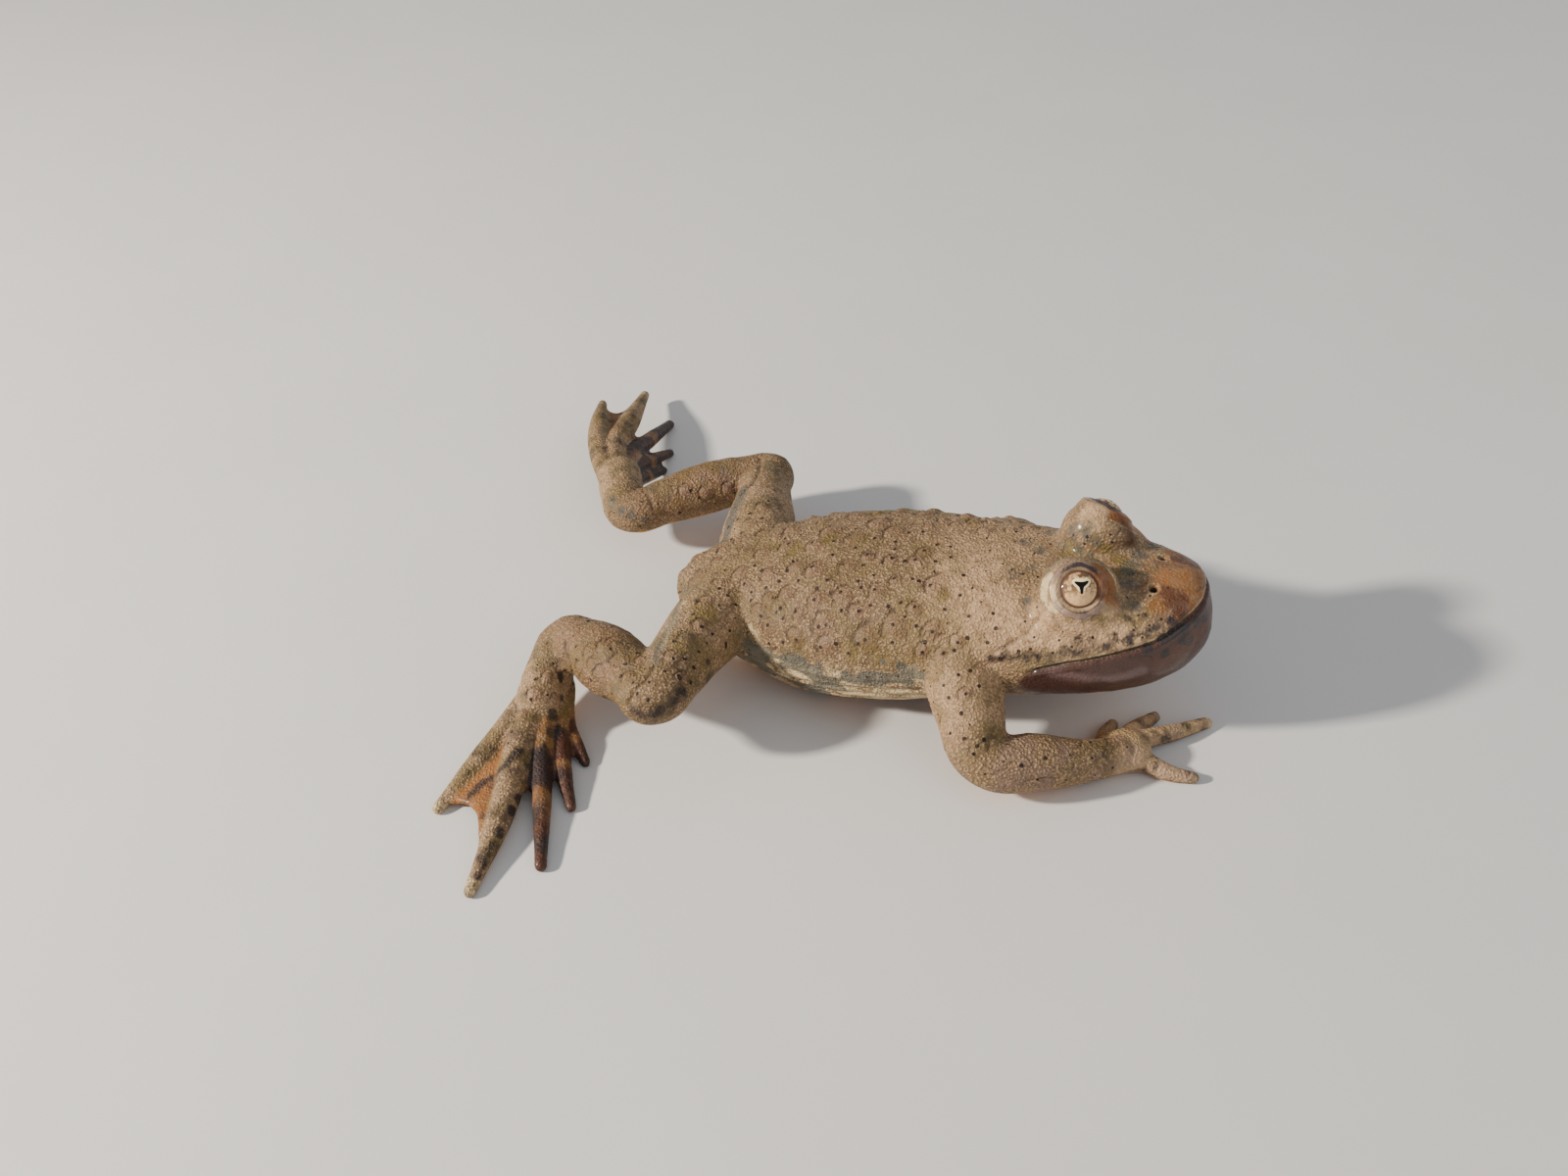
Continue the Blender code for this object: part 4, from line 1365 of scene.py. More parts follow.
@dataclass(frozen=True)
class Mouth:
    """The closed mouth, as its height along the straight spine, with a lip on each side."""

    line: tuple[Pair, ...] = (
        (9.4, -1.7), (10.2, -0.8), (11.2, -0.35), (12.4, -0.15), (13.5, 0.05), (15.0, 0.12), (17.2, 0.29),
        (18.7, 0.35), (19.7, 0.42), (20.4, 0.6), (21.0, 0.75), (21.6, 0.88), (22.3, 0.92), (25.0, 0.92),
    )
    corner: float = 10.2
    depth: float = 0.26
    width: float = 0.15
    lip: float = 0.1

    def height(self, skin: SkinField) -> Array:
        """How far each point is above the mouth's line."""
        x, z = np.array(self.line).T
        return skin.straight[:, 2] - np.interp(skin.x, x, z)

    def shape(self, skin: SkinField) -> None:
        """Presses the mouth's line into the head and tints the lips and the throat, with painted shade in
        the line and partly in the throat's plum.

        Args:
            skin: The skin.
        """
        above = self.height(skin)
        close = ease(1.4, 0.8, skin.trunk_gap) * (skin.limb_gap > 0.3) * (skin.digit_gap > 0.8)
        head = ease(self.corner - 0.3, self.corner + 1.2, skin.x) * close
        skin.rise -= head * self.depth * bell(above, self.width)
        skin.rise += head * self.lip * (bell(above - 0.5, 0.3) + bell(above + 0.45, 0.3))
        throat = ease(0.02, -0.2, above) * ease(8.6, 10.4, skin.x) * close
        under = ease(0.55, 0.85, skin.down)
        # The throat's plum is partly its own dark colour and partly painted shade.
        skin.add(Tint.PLUM, throat * (1 - under))
        # The mouth's line is darkened with painted shade.
        skin.add(Tint.CREASE, 0.9 * head * bell(above, 0.13))
        skin.add(Tint.CREAM, 0.5 * head * bell(above - 0.24, 0.13))
        skin.add(Tint.SMOOTH, 0.8 * throat)


class NodeSketch:
    """Short ways to add and join a material's nodes."""

    def __init__(self, name: str) -> None:
        """Starts a material with its usual shader."""
        self.material = bpy.data.materials.new(name)
        self.material.use_nodes = True
        self.tree = self.material.node_tree
        self.shader = self.tree.nodes["Principled BSDF"]
        self.place = self.tree.nodes.new("ShaderNodeTexCoord").outputs["Object"]

    def feed(self, socket: Socket, value: object) -> None:
        """Joins a socket to another, or sets it to a number or a colour."""
        if isinstance(value, Socket):
            self.tree.links.new(value, socket)
        elif isinstance(value, tuple):
            socket.default_value = (*value, 1.0)
        else:
            socket.default_value = value

    def attribute(self, name: str) -> Socket:
        """Reads one of the mesh's maps."""
        node = self.tree.nodes.new("ShaderNodeAttribute")
        node.attribute_name = name
        return node.outputs["Fac"]

    def noise(self, scale: float, detail: float, roughness: float = 0.55) -> Socket:
        """Adds a noise over the object's own coordinates."""
        node = self.tree.nodes.new("ShaderNodeTexNoise")
        self.feed(node.inputs["Vector"], self.place)
        self.feed(node.inputs["Scale"], scale)
        self.feed(node.inputs["Detail"], detail)
        self.feed(node.inputs["Roughness"], roughness)
        return node.outputs["Fac"]

    def cells(self, scale: float) -> Socket:
        """Adds rounded cells over the object's own coordinates."""
        node = self.tree.nodes.new("ShaderNodeTexVoronoi")
        node.feature = "SMOOTH_F1"
        self.feed(node.inputs["Vector"], self.place)
        self.feed(node.inputs["Scale"], scale)
        self.feed(node.inputs["Smoothness"], 0.35)
        return node.outputs["Distance"]

    def ramp(self, value: Socket, low: float, high: float) -> Socket:
        """Eases a value from 0 at low to 1 at high."""
        node = self.tree.nodes.new("ShaderNodeMapRange")
        node.interpolation_type = "SMOOTHSTEP"
        self.feed(node.inputs["Value"], value)
        self.feed(node.inputs["From Min"], low)
        self.feed(node.inputs["From Max"], high)
        return node.outputs["Result"]

    def combine(self, operation: str, first: object, second: object) -> Socket:
        """Does a sum with two values."""
        node = self.tree.nodes.new("ShaderNodeMath")
        node.operation = operation
        self.feed(node.inputs[0], first)
        self.feed(node.inputs[1], second)
        return node.outputs["Value"]

    def inverse(self, value: Socket) -> Socket:
        """One less a value."""
        return self.combine("SUBTRACT", 1.0, value)

    def scaled(self, value: Socket, amount: object) -> Socket:
        """Multiplies a value by a number or by another."""
        return self.combine("MULTIPLY", value, amount)

    def ragged(self, value: Socket, coarse: Socket, fine: Socket, broken: float, soft: float) -> Socket:
        """Breaks up a map's edge with noise.

        Args:
            value: The map.
            coarse: The larger noise.
            fine: The smaller noise.
            broken: How much of the edge the noise moves.
            soft: Half the range over which the map sets in.

        Returns:
            The map with a broken edge.
        """
        both = self.combine("ADD", self.scaled(coarse, 0.6), self.scaled(fine, 0.4))
        shift = self.scaled(self.combine("SUBTRACT", both, 0.5), 6.0 * broken)
        full = self.combine("ADD", value, self.scaled(shift, self.ramp(value, 0.0, 0.35)))
        return self.ramp(full, 0.5 - soft, 0.5 + soft)

    def blend(self, share: object, first: object, second: object) -> Socket:
        """Mixes two colours."""
        node = self.tree.nodes.new("ShaderNodeMix")
        node.data_type = "RGBA"
        sockets = {socket.identifier: socket for socket in node.inputs}
        self.feed(sockets["Factor_Float"], share)
        self.feed(sockets["A_Color"], first)
        self.feed(sockets["B_Color"], second)
        return next(socket for socket in node.outputs if socket.identifier == "Result_Color")

    def bump(self, height: Socket, strength: float, distance: float) -> None:
        """Adds a bump to the shader's normal."""
        node = self.tree.nodes.new("ShaderNodeBump")
        self.feed(node.inputs["Strength"], strength)
        self.feed(node.inputs["Distance"], distance)
        self.feed(node.inputs["Height"], height)
        self.join(node.outputs["Normal"], "Normal")

    def join(self, value: Socket, name: str) -> None:
        """Joins a value to one of the shader's inputs."""
        self.tree.links.new(value, self.shader.inputs[name])

    def fix(self, name: str, value: object) -> None:
        """Sets one of the shader's inputs to a number or to three."""
        self.shader.inputs[name].default_value = value


@dataclass(frozen=True)
class Layer:
    """One tint's paint, how much of it shows, how broken its edge is, and how soft."""

    tint: Tint
    paint: Colour
    amount: float
    broken: float
    soft: float


@dataclass(frozen=True)
class SkinFinish:
    """The moist granular skin, mixed from the tints with fine noise."""

    net: Colour = linear(104, 82, 56)
    granule: Colour = linear(168, 138, 102)
    gap: Colour = linear(66, 48, 32)
    smooth: Colour = linear(152, 120, 86)
    brown: Colour = linear(112, 86, 58)
    moss: Colour = linear(98, 86, 42)
    blush: Layer = Layer(Tint.ROSY, linear(212, 172, 130), 0.62, 0.2, 0.45)
    layers: tuple[Layer, ...] = (
        Layer(Tint.OLIVE, linear(104, 88, 36), 0.68, 0.3, 0.45),
        Layer(Tint.WART, linear(118, 86, 66), 0.36, 0.2, 0.45),
        Layer(Tint.BELLY, linear(224, 150, 22), 1.0, 0.15, 0.3),
        Layer(Tint.AMBER, linear(138, 81, 16), 0.85, 0.25, 0.5),
        Layer(Tint.CREAM, linear(222, 198, 152), 0.85, 0.35, 0.4),
        Layer(Tint.SLATE, linear(62, 70, 68), 0.78, 0.35, 0.4),
        Layer(Tint.PLUM, linear(58, 28, 22), 0.95, 0.1, 0.4),
        Layer(Tint.MAUVE, linear(132, 106, 104), 0.72, 0.15, 0.45),
        Layer(Tint.RUST, linear(80, 40, 16), 0.88, 0.2, 0.5),
        Layer(Tint.DARK, linear(30, 25, 28), 0.92, 0.35, 0.42),
        # Painted shade in creases, grooves and folds.
        Layer(Tint.CREASE, linear(50, 34, 26), 0.8, 0.2, 0.45),
    )
    pore: Colour = linear(30, 12, 9)
    fine_scale: float = 5200.0
    middling_scale: float = 1500.0
    broad_scale: float = 420.0
    bead_scale: float = 4300.0
    smooth_share: float = 0.75
    brown_share: float = 0.5
    moss_share: float = 0.35
    gap_share: float = 0.3
    pore_share: float = 0.95
    roughness: float = 0.54
    roughness_spread: float = 0.16
    specular: float = 0.3
    coat: float = 0.55
    coat_roughness: float = 0.16
    bump_strength: float = 0.8
    bump_distance: float = 0.00011
    flesh: float = 0.1
    flesh_scale: float = 0.0006
    flesh_radii: Triple = (1.0, 0.5, 0.3)

    def make(self) -> Material:
        """Builds the material."""
        nodes = NodeSketch("toad_skin")
        fine = nodes.noise(self.fine_scale, 2.0)
        middling = nodes.noise(self.middling_scale, 3.0)
        broad = nodes.noise(self.broad_scale, 3.0)
        smooth = nodes.attribute(Tint.SMOOTH.value)
        beads = nodes.inverse(nodes.ramp(nodes.cells(self.bead_scale), 0.18, 0.62))
        crumbs = nodes.ramp(fine, 0.4, 0.6)
        grain = nodes.combine("ADD", nodes.scaled(beads, 0.55), nodes.scaled(crumbs, 0.45))
        colour = nodes.blend(nodes.ramp(grain, 0.08, 0.94), self.net, self.granule)
        colour = nodes.blend(nodes.scaled(smooth, self.smooth_share), colour, self.smooth)
        colour = self.lay(nodes, colour, self.blush, middling, fine)
        patches = nodes.ramp(middling, 0.48, 0.66)
        colour = nodes.blend(nodes.scaled(patches, self.brown_share), colour, self.brown)
        clouds = nodes.ramp(broad, 0.5, 0.66)
        colour = nodes.blend(nodes.scaled(clouds, self.moss_share), colour, self.moss)
        for layer in self.layers:
            colour = self.lay(nodes, colour, layer, middling, fine)
        gaps = nodes.scaled(nodes.inverse(grain), nodes.inverse(nodes.scaled(smooth, 0.85)))
        colour = nodes.blend(nodes.scaled(gaps, self.gap_share), colour, self.gap)
        pores = nodes.ramp(nodes.attribute(Tint.PORE.value), 0.6, 0.74)
        colour = nodes.blend(nodes.scaled(pores, self.pore_share), colour, self.pore)
        nodes.join(colour, "Base Color")
        relief = nodes.combine("ADD", nodes.scaled(beads, 0.8), nodes.scaled(fine, 0.35))
        relief = nodes.scaled(relief, nodes.inverse(nodes.scaled(smooth, 0.8)))
        nodes.bump(relief, self.bump_strength, self.bump_distance)
        dull = nodes.scaled(nodes.ramp(middling, 0.3, 0.7), self.roughness_spread)
        nodes.join(nodes.combine("ADD", dull, self.roughness), "Roughness")
        nodes.fix("Specular IOR Level", self.specular)
        nodes.join(nodes.scaled(smooth, self.coat), "Coat Weight")
        nodes.fix("Coat Roughness", self.coat_roughness)
        nodes.fix("Subsurface Weight", self.flesh)
        nodes.fix("Subsurface Scale", self.flesh_scale)
        nodes.fix("Subsurface Radius", self.flesh_radii)
        return nodes.material

    @staticmethod
    def lay(nodes: NodeSketch, colour: object, layer: Layer, coarse: Socket, fine: Socket) -> Socket:
        """Lays one tint over a colour, its edge broken by two noises."""
        share = nodes.ragged(nodes.attribute(layer.tint.value), coarse, fine, layer.broken, layer.soft)
        return nodes.blend(nodes.scaled(share, layer.amount), colour, layer.paint)


@dataclass
class ToadSkin:
    """The whole skin as one closed piece that stands for every flesh node."""

    anatomy: Anatomy
    camera: PhotoCamera
    finish: SkinFinish = SkinFinish()
    warts: Warts = Warts()
    lids: Lids = Lids()
    mouth: Mouth = Mouth()
    voxel: float = 0.22
    rounds: int = 10
    relax: float = 0.5
    regrow: float = 0.52
    swells: tuple[tuple[int, float, float], ...] = ((3, 0.05, 2.4), (5, 0.03, 0.9))
    nostril: Pixel = (1177, 599)
    nostril_depth: float = 0.6
    nostril_rim: float = 0.08
    wrinkle_depth: float = 0.055
    fold_height: float = 0.06
    fold_spacing: float = 0.85
    # Grooves cut into the skin, each darkened with painted shade.
    creases: tuple[Stroke, ...] = (
        Stroke(((1064, 622), (1057, 634), (1046, 645), (1030, 656), (1010, 667)), 0.2, 0.5, depth=0.11),
        Stroke(((1050, 598), (1054, 610), (1060, 620)), 0.18, 0.3, depth=0.08),
        Stroke(((574, 652), (577, 666), (581, 684), (588, 697)), 0.2, 0.75, depth=0.2),
        Stroke(((639, 722), (641, 711), (648, 700), (657, 691), (666, 677)), 0.2, 0.75, depth=0.2),
        Stroke(((648, 548), (655, 545), (664, 540)), 0.22, 0.5, depth=0.15),
        Stroke(((1010, 764), (1012, 752), (1014, 742)), 0.25, 0.35, depth=0.12),
        Stroke(((775, 466), (773, 479), (766, 492), (752, 506)), 0.22, 0.6, depth=0.16),
        Stroke(((655, 498), (664, 507), (668, 519)), 0.2, 0.5, depth=0.12),
        Stroke(((945, 686), (960, 678), (980, 676), (1002, 680), (1018, 678)), 0.3, 0.25, depth=0.1),
        Stroke(((620, 640), (628, 637), (640, 639)), 0.12, 0.6, depth=0.08),
        Stroke(((584, 640), (596, 634), (608, 631)), 0.12, 0.5, depth=0.08),
    )
    strokes: tuple[Stroke, ...] = (
        Stroke(((645, 727), (658, 731), (672, 728), (686, 718), (700, 705)), 0.7, 0.72, Tint.DARK),
        # A painted highlight along the thigh's rear edge: a teal strip under a cream line.
        Stroke(((668, 671), (677, 648), (689, 626), (698, 604)), 0.7, 0.6, Tint.SLATE),
        Stroke(((676, 658), (684, 638), (696, 614)), 0.35, 0.5, Tint.CREAM),
        Stroke(((738, 549), (742, 533), (749, 515), (755, 499)), 1.0, 1.0, Tint.SLATE),
        Stroke(((764, 640), (770, 655), (780, 668), (796, 682)), 0.45, 0.55, Tint.CREAM),
        Stroke(((1010, 674), (1040, 672), (1070, 670), (1100, 666), (1130, 658)), 0.45, 0.65, Tint.DARK),
        Stroke(((1075, 688), (1105, 694), (1140, 693), (1165, 686)), 0.6, 0.5, Tint.MAUVE),
        Stroke(((529, 763), (513, 780), (497, 794), (480, 810)), 0.5, 0.85, Tint.DARK),
        # The far eye bulge's dark-brown front band, and painted shade on its unlit side.
        Stroke(((1142, 516), (1150, 526), (1156, 538), (1158, 550)), 0.6, 0.9, Tint.RUST),
        Stroke(((1140, 512), (1149, 519), (1156, 530)), 0.35, 0.6, Tint.DARK),
        Stroke(((1186, 676), (1208, 664), (1226, 648), (1236, 634)), 0.9, 0.85, Tint.RUST),
    )
    spots: tuple[Spots, ...] = (
        Spots(Tint.DARK, 0.72, (
            (725, 676, 0.45), (574, 690, 0.5), (575, 712, 0.5), (567, 730, 0.6), (564, 748, 0.7),
            (549, 768, 1.1), (543, 782, 1.0), (556, 772, 0.7), (531, 815, 0.9), (524, 827, 0.7),
            (512, 850, 0.8), (504, 861, 0.6), (495, 880, 0.8), (489, 893, 0.7), (590, 703, 0.8),
        )),
        Spots(Tint.DARK, 0.62, (
            (1099, 658, 0.8), (1113, 656, 0.6), (1134, 652, 0.7), (1151, 657, 0.5), (1180, 638, 0.6),
            (1156, 646, 0.6), (1152, 634, 0.5), (1085, 664, 0.7), (1170, 645, 0.5), (1196, 632, 0.5),
            (1140, 622, 0.5), (1134, 634, 0.5), (1168, 626, 0.4), (1027, 672, 0.7), (1047, 674, 0.5),
        ), mirrored=True),
        Spots(Tint.DARK, 0.5, (
            (1128, 751, 0.8), (1136, 757, 0.7), (1130, 770, 0.6), (1162, 734, 0.7), (1170, 751, 0.7),
            (1180, 746, 0.7), (1209, 737, 0.8), (1098, 751, 0.5), (1200, 780, 0.4),
        )),
        Spots(Tint.DARK, 0.95, (
            (1187, 652, 0.7), (1198, 645, 0.6), (1210, 642, 0.8), (1222, 636, 0.7), (1232, 629, 0.7),
            (1207, 655, 0.5), (1190, 668, 0.5), (1217, 653, 0.5), (1236, 643, 0.6), (1170, 664, 0.6),
        ), mirrored=True),
        Spots(Tint.SLATE, 0.9, (
            (772, 662, 0.7), (780, 672, 0.8), (797, 682, 0.7), (818, 676, 0.5), (850, 696, 0.8),
            (862, 690, 0.6), (838, 693, 0.8), (880, 695, 0.8), (895, 691, 0.8), (905, 695, 0.7),
            (925, 696, 0.8), (940, 692, 0.6), (920, 681, 0.7), (900, 676, 0.4), (835, 680, 0.4),
        ), mirrored=True),
        Spots(Tint.SLATE, 0.62, (
            (622, 512, 0.8), (632, 522, 0.9), (645, 529, 0.8), (657, 532, 0.6), (653, 470, 0.7),
            (650, 486, 0.7),
        )),
        Spots(Tint.MAUVE, 0.34, (
            (742, 487, 1.4), (745, 499, 1.1), (700, 500, 0.8), (722, 506, 0.8), (715, 484, 0.8),
            (775, 500, 0.9),
        )),
        Spots(Tint.SLATE, 0.28, (
            (725, 690, 1.4), (1122, 770, 1.0), (800, 535, 1.2), (720, 518, 1.1), (706, 508, 0.9),
            (790, 532, 0.9),
        )),
        Spots(Tint.SLATE, 0.55, (
            (1047, 552, 1.0), (1093, 546, 1.0), (1109, 549, 1.0), (1075, 540, 0.9), (1116, 553, 0.8),
            (1060, 560, 0.8), (1083, 556, 0.9), (1100, 560, 0.8), (1167, 566, 0.6), (1160, 618, 0.8),
        ), mirrored=True),
        Spots(Tint.OLIVE, 0.75, (
            (1140, 627, 1.2), (1131, 640, 1.0), (1156, 632, 1.1), (1090, 632, 0.9), (1173, 622, 0.8),
        ), mirrored=True),
        # Painted shadow of each eye's bulge on the snout in front of it.
        Spots(Tint.SLATE, 0.62, ((1150, 594, 1.0), (1153, 582, 1.0)), mirrored=True),
        Spots(Tint.AMBER, 1.0, ((1129, 582, 0.8), (1133, 593, 1.0), (1131, 604, 0.8)), mirrored=True),
        # The olive top of the same painted shadow in front of each eye.
        Spots(Tint.OLIVE, 0.9, ((1140, 568, 0.9), (1128, 562, 0.7), (1152, 575, 0.9)), mirrored=True),
        # Behind each eye: the lid's own cream, brightened with a painted highlight.
        Spots(Tint.CREAM, 0.9, ((1066, 592, 1.1), (1064, 606, 1.0), (1073, 621, 0.7)), mirrored=True),
        Spots(Tint.RUST, 0.85, ((1199, 613, 1.5), (1193, 605, 1.0), (1204, 625, 1.2)), mirrored=True),
        Spots(Tint.AMBER, 0.62, (
            (1224, 600, 4.6), (1208, 585, 3.4), (1197, 575, 2.4), (1181, 618, 1.3),
        ), mirrored=True),
        Spots(Tint.SMOOTH, 0.8, ((1224, 600, 4.2), (1208, 580, 3.2)), mirrored=True),
        Spots(Tint.OLIVE, 0.9, (
            (885, 657, 1.5), (868, 664, 1.2), (899, 647, 1.0), (845, 549, 1.3), (810, 560, 1.1),
            (875, 548, 1.4), (784, 612, 0.9), (602, 682, 0.9), (1137, 628, 0.8), (962, 604, 1.0),
            (812, 656, 0.9), (720, 622, 1.8), (945, 563, 0.8), (1020, 520, 1.0), (990, 530, 1.0),
            (1135, 785, 0.9), (1131, 797, 0.8), (557, 790, 1.2), (560, 803, 1.0), (1090, 560, 1.2),
        )),
        # Rosy patches; the small one on the far eye's bulge is painted light on its lit side.
        Spots(Tint.ROSY, 0.95, (
            (985, 585, 4.0), (1010, 620, 3.6), (1020, 650, 3.0), (1100, 645, 2.4), (1060, 640, 2.4),
            (985, 640, 3.0), (1155, 770, 1.5), (1113, 526, 1.6),
            (1120, 648, 2.2), (1145, 642, 1.8), (1085, 655, 2.0),
        )),
    )

    def build(self, placement: Placement) -> bpy.types.Object:
        """Makes the skin.

        Args:
            placement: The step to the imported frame.

        Returns:
            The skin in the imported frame.
        """
        forms = Forms(self.anatomy.spine)
        self.anatomy.add_to(forms)
        mesh = forms.fuse(self.voxel)
        self.soften(mesh)
        mesh = modified(mesh, "SUBSURF", levels=1, render_levels=1)
        skin = SkinField(mesh, self.anatomy, self.camera)
        self.sculpt(skin)
        self.paint(skin)
        points = skin.points + skin.normals * skin.rise[:, None]
        points[:, 2] = np.maximum(points[:, 2], 0.0)
        write_points(mesh, placement.to_metres(points))
        for tint, values in skin.tints.items():
            store(mesh, tint.value, np.clip(values, 0, 1))
        mesh.shade_smooth()
        mesh.name = "toad_skin"
        piece = added("toad_skin", mesh)
        piece.data.materials.clear()
        piece.data.materials.append(self.finish.make())
        return piece

    def soften(self, mesh: Mesh) -> None:
        """Rounds the joins of the fused forms, and keeps the digits' thickness.

        Args:
            mesh: The fused mesh.
        """
        points = read_points(mesh)
        first, second = read_edges(mesh)
        ends = np.concatenate([first, second])
        starts = np.concatenate([second, first])
        neighbours = np.bincount(ends, minlength=len(points))[:, None]
        feet = (*self.anatomy.hands.values(), *self.anatomy.feet.values())
        digits = [line for foot in feet for line in foot.digits]
        gap = np.minimum.reduce([line.measure(points)[0] for line in digits])
        firm = (1 - ease(0.2, 1.2, gap))[:, None]

        def drift() -> Array:
            """The step of each point to the middle of its neighbours."""
            sums = [
                np.bincount(ends, weights=points[starts, axis], minlength=len(points)) for axis in range(3)
            ]
            return np.stack(sums, axis=1) / neighbours - points

        for _ in range(self.rounds):
            points = points + self.relax * drift()
            points = points - self.regrow * firm * drift()
        write_points(mesh, points)

    def sculpt(self, skin: SkinField) -> None:
        """Models everything that the fused forms leave out.

        Args:
            skin: The skin.
        """
        flesh = 1 - 0.7 * skin.digit
        for seed, height, wavelength in self.swells:
            skin.rise += flesh * height * skin.noise(seed, wavelength)
        back = skin.trunk_share * ease(-0.1, 0.4, -skin.down) * ease(11.0, 6.0, skin.x)
        skin.rise += 0.1 * back * skin.noise(6, 1.5)
        rough = ease(0.0, 0.3, skin.noise(13, 2.2)) * ease(0.3, -0.1, skin.down)
        wrinkle = ease(0.09, 0.0, np.abs(skin.noise(12, 1.3))) * rough * flesh
        skin.rise -= self.wrinkle_depth * wrinkle
        # The wrinkles are darkened with painted shade.
        skin.add(Tint.CREASE, 0.6 * wrinkle)
        self.lids.shape(skin, self.anatomy.eye, self.anatomy.spine)
        self.mouth.shape(skin)
        self.fold_flanks(skin)
        for stroke in self.creases:
            stroke.lay(skin)
        right_nostril = skin.pick(self.nostril)
        for place in (right_nostril, skin.mirror(right_nostril, self.anatomy.spine)):
            index, away = skin.near(place, 1.6)
            skin.rise[index] += (
                self.nostril_rim * bell(away - 0.48, 0.16) - self.nostril_depth * bell(away, 0.28)
            )
            # The nostril's hole is darkened with the pores' dark paint: painted shade in the hole.
            skin.put(Tint.PORE, index, 1.3 * bell(away, 0.34))
            skin.put(Tint.CREAM, index, 0.35 * bell(away - 0.52, 0.12))
        self.warts.shape(skin)

    def fold_flanks(self, skin: SkinField) -> None:
        """Presses long soft folds into the flanks and round the thighs' roots, with painted shade in their
        troughs.

        Args:
            skin: The skin.
        """
        warp = skin.noise(8, 1.6, (0.5, 1, 1))
        flank = skin.trunk_share * bell(0.25 - skin.down, 0.35) * ease(7.5, 3.0, skin.x)
        wave = np.sin(math.tau * skin.straight[:, 2] / self.fold_spacing + 3.2 * warp)
        skin.rise += self.fold_height * flank * wave
        # The troughs of the folds are darkened with painted shade.
        skin.add(Tint.CREASE, 0.35 * flank * ease(0.2, 1.0, -wave))

    def paint(self, skin: SkinField) -> None:
        """Fills the tints' maps.

        Args:
            skin: The skin.
        """
        down, x = skin.down, skin.x
        broad = skin.noise(21, 3.0)
        blots = skin.noise(22, 1.7)
        body = skin.trunk_share
        head = ease(9.0, 11.5, x) * body
        skin.add(Tint.SMOOTH, 0.35 * head)
        belly = ease(0.6, 0.8, down + 0.12 * blots)
        skin.add(Tint.BELLY, belly)
        marbled = ease(0.02, 0.28, broad + 0.35 * blots) * ease(0.55, 0.72, down)
        skin.add(Tint.DARK, 0.95 * marbled)
        edge = down + 0.1 * blots
        border = ease(-0.28, 0.0, edge) * ease(0.85, 0.62, edge) * body * (1 - head) * ease(7.5, 4.0, x)
        streaks = skin.noise(23, 0.8, (0.45, 1.0, 1.0))
        skin.add(Tint.CREAM, border * (0.55 + 0.45 * streaks))
        skin.add(Tint.SLATE, border * ease(0.02, 0.18, blots + 0.5 * streaks))
        skin.add(Tint.ROSY, 0.55 * body * ease(-3.0, 5.0, x) * ease(13.0, 8.0, x) * ease(0.3, -0.1, down))
        skin.add(Tint.OLIVE, 0.5 * ease(0.1, 0.6, broad) * ease(0.1, -0.3, down) * (1 - 0.4 * head))
        mottles = skin.noise(24, 1.0) + 0.5 * broad
        skin.add(Tint.SLATE, 0.42 * head * ease(0.15, 0.5, mottles))
        skin.add(Tint.OLIVE, 0.36 * head * ease(0.0, 0.4, mottles))
        mottles = skin.noise(25, 1.15) + 0.4 * blots
        self.paint_limbs(skin, blots, mottles)
        self.paint_digits(skin, blots, mottles)
        for stroke in self.strokes:
            stroke.lay(skin)
        for spots in self.spots:
            spots.lay(skin, self.anatomy.spine)

    @staticmethod
    def paint_limbs(skin: SkinField, blots: Array, mottles: Array) -> None:
        """Tints the legs, the arms and the hands.

        Args:
            skin: The skin.
            blots: A noise for the spots.
            mottles: A finer noise for the marbling.
        """
        down = skin.down
        upper = ease(0.5, 0.0, down)
        sides = ease(0.6, 0.1, down)
        for gap, along in skin.leg.values():
            limb = ease(0.3, -0.1, gap - skin.trunk_gap) * ease(0.3, -0.1, gap - skin.digit_gap)
            bands = ease(0.35, 0.9, np.sin(math.tau * along / 6.4 + 0.8) + 0.6 * blots)
            shank = ease(12.0, 20.0, along) * ease(34.0, 28.0, along)
            skin.add(Tint.SLATE, 0.3 * limb * bands * upper * shank)
            skin.add(Tint.OLIVE, (0.05 + 0.8 * shank) * limb * ease(-0.3, 0.3, blots) * upper)
            skin.add(Tint.WART, 0.6 * limb * shank * sides)
            skin.add(Tint.AMBER, 0.15 * limb * shank * sides)
            skin.add(Tint.SLATE, 0.34 * limb * ease(0.15, 0.55, mottles) * sides)
            skin.add(Tint.OLIVE, 0.55 * limb * ease(-0.1, 0.5, mottles) * sides)
            skin.add(Tint.ROSY, 0.5 * limb * ease(28.0, 34.0, along) * upper)
            skin.add(Tint.ROSY, 0.45 * limb * ease(16.0, 9.0, along) * upper)
            skin.add(Tint.DARK, 0.62 * limb * ease(0.25, 0.55, blots) * bell(down - 0.35, 0.3))
        for gap, along in skin.arm.values():
            limb = ease(0.3, -0.1, gap - skin.trunk_gap)
            skin.add(Tint.ROSY, limb * (0.3 + 0.32 * ease(11.0, 7.0, along)))
            skin.add(Tint.OLIVE, 0.22 * limb * bell(along - 19.4, 1.2))
            skin.add(Tint.MAUVE, 0.45 * limb * ease(-0.4, 0.4, mottles) * ease(9.0, 12.0, along))
        hand = ease(2.2, 0.4, skin.hand_gap) * ease(0.9, -0.6, skin.hand_gap - skin.limb_gap - 0.4)
        skin.add(Tint.ROSY, hand)
        skin.add(Tint.CREAM, 0.26 * hand * ease(0.4, 0.0, down))

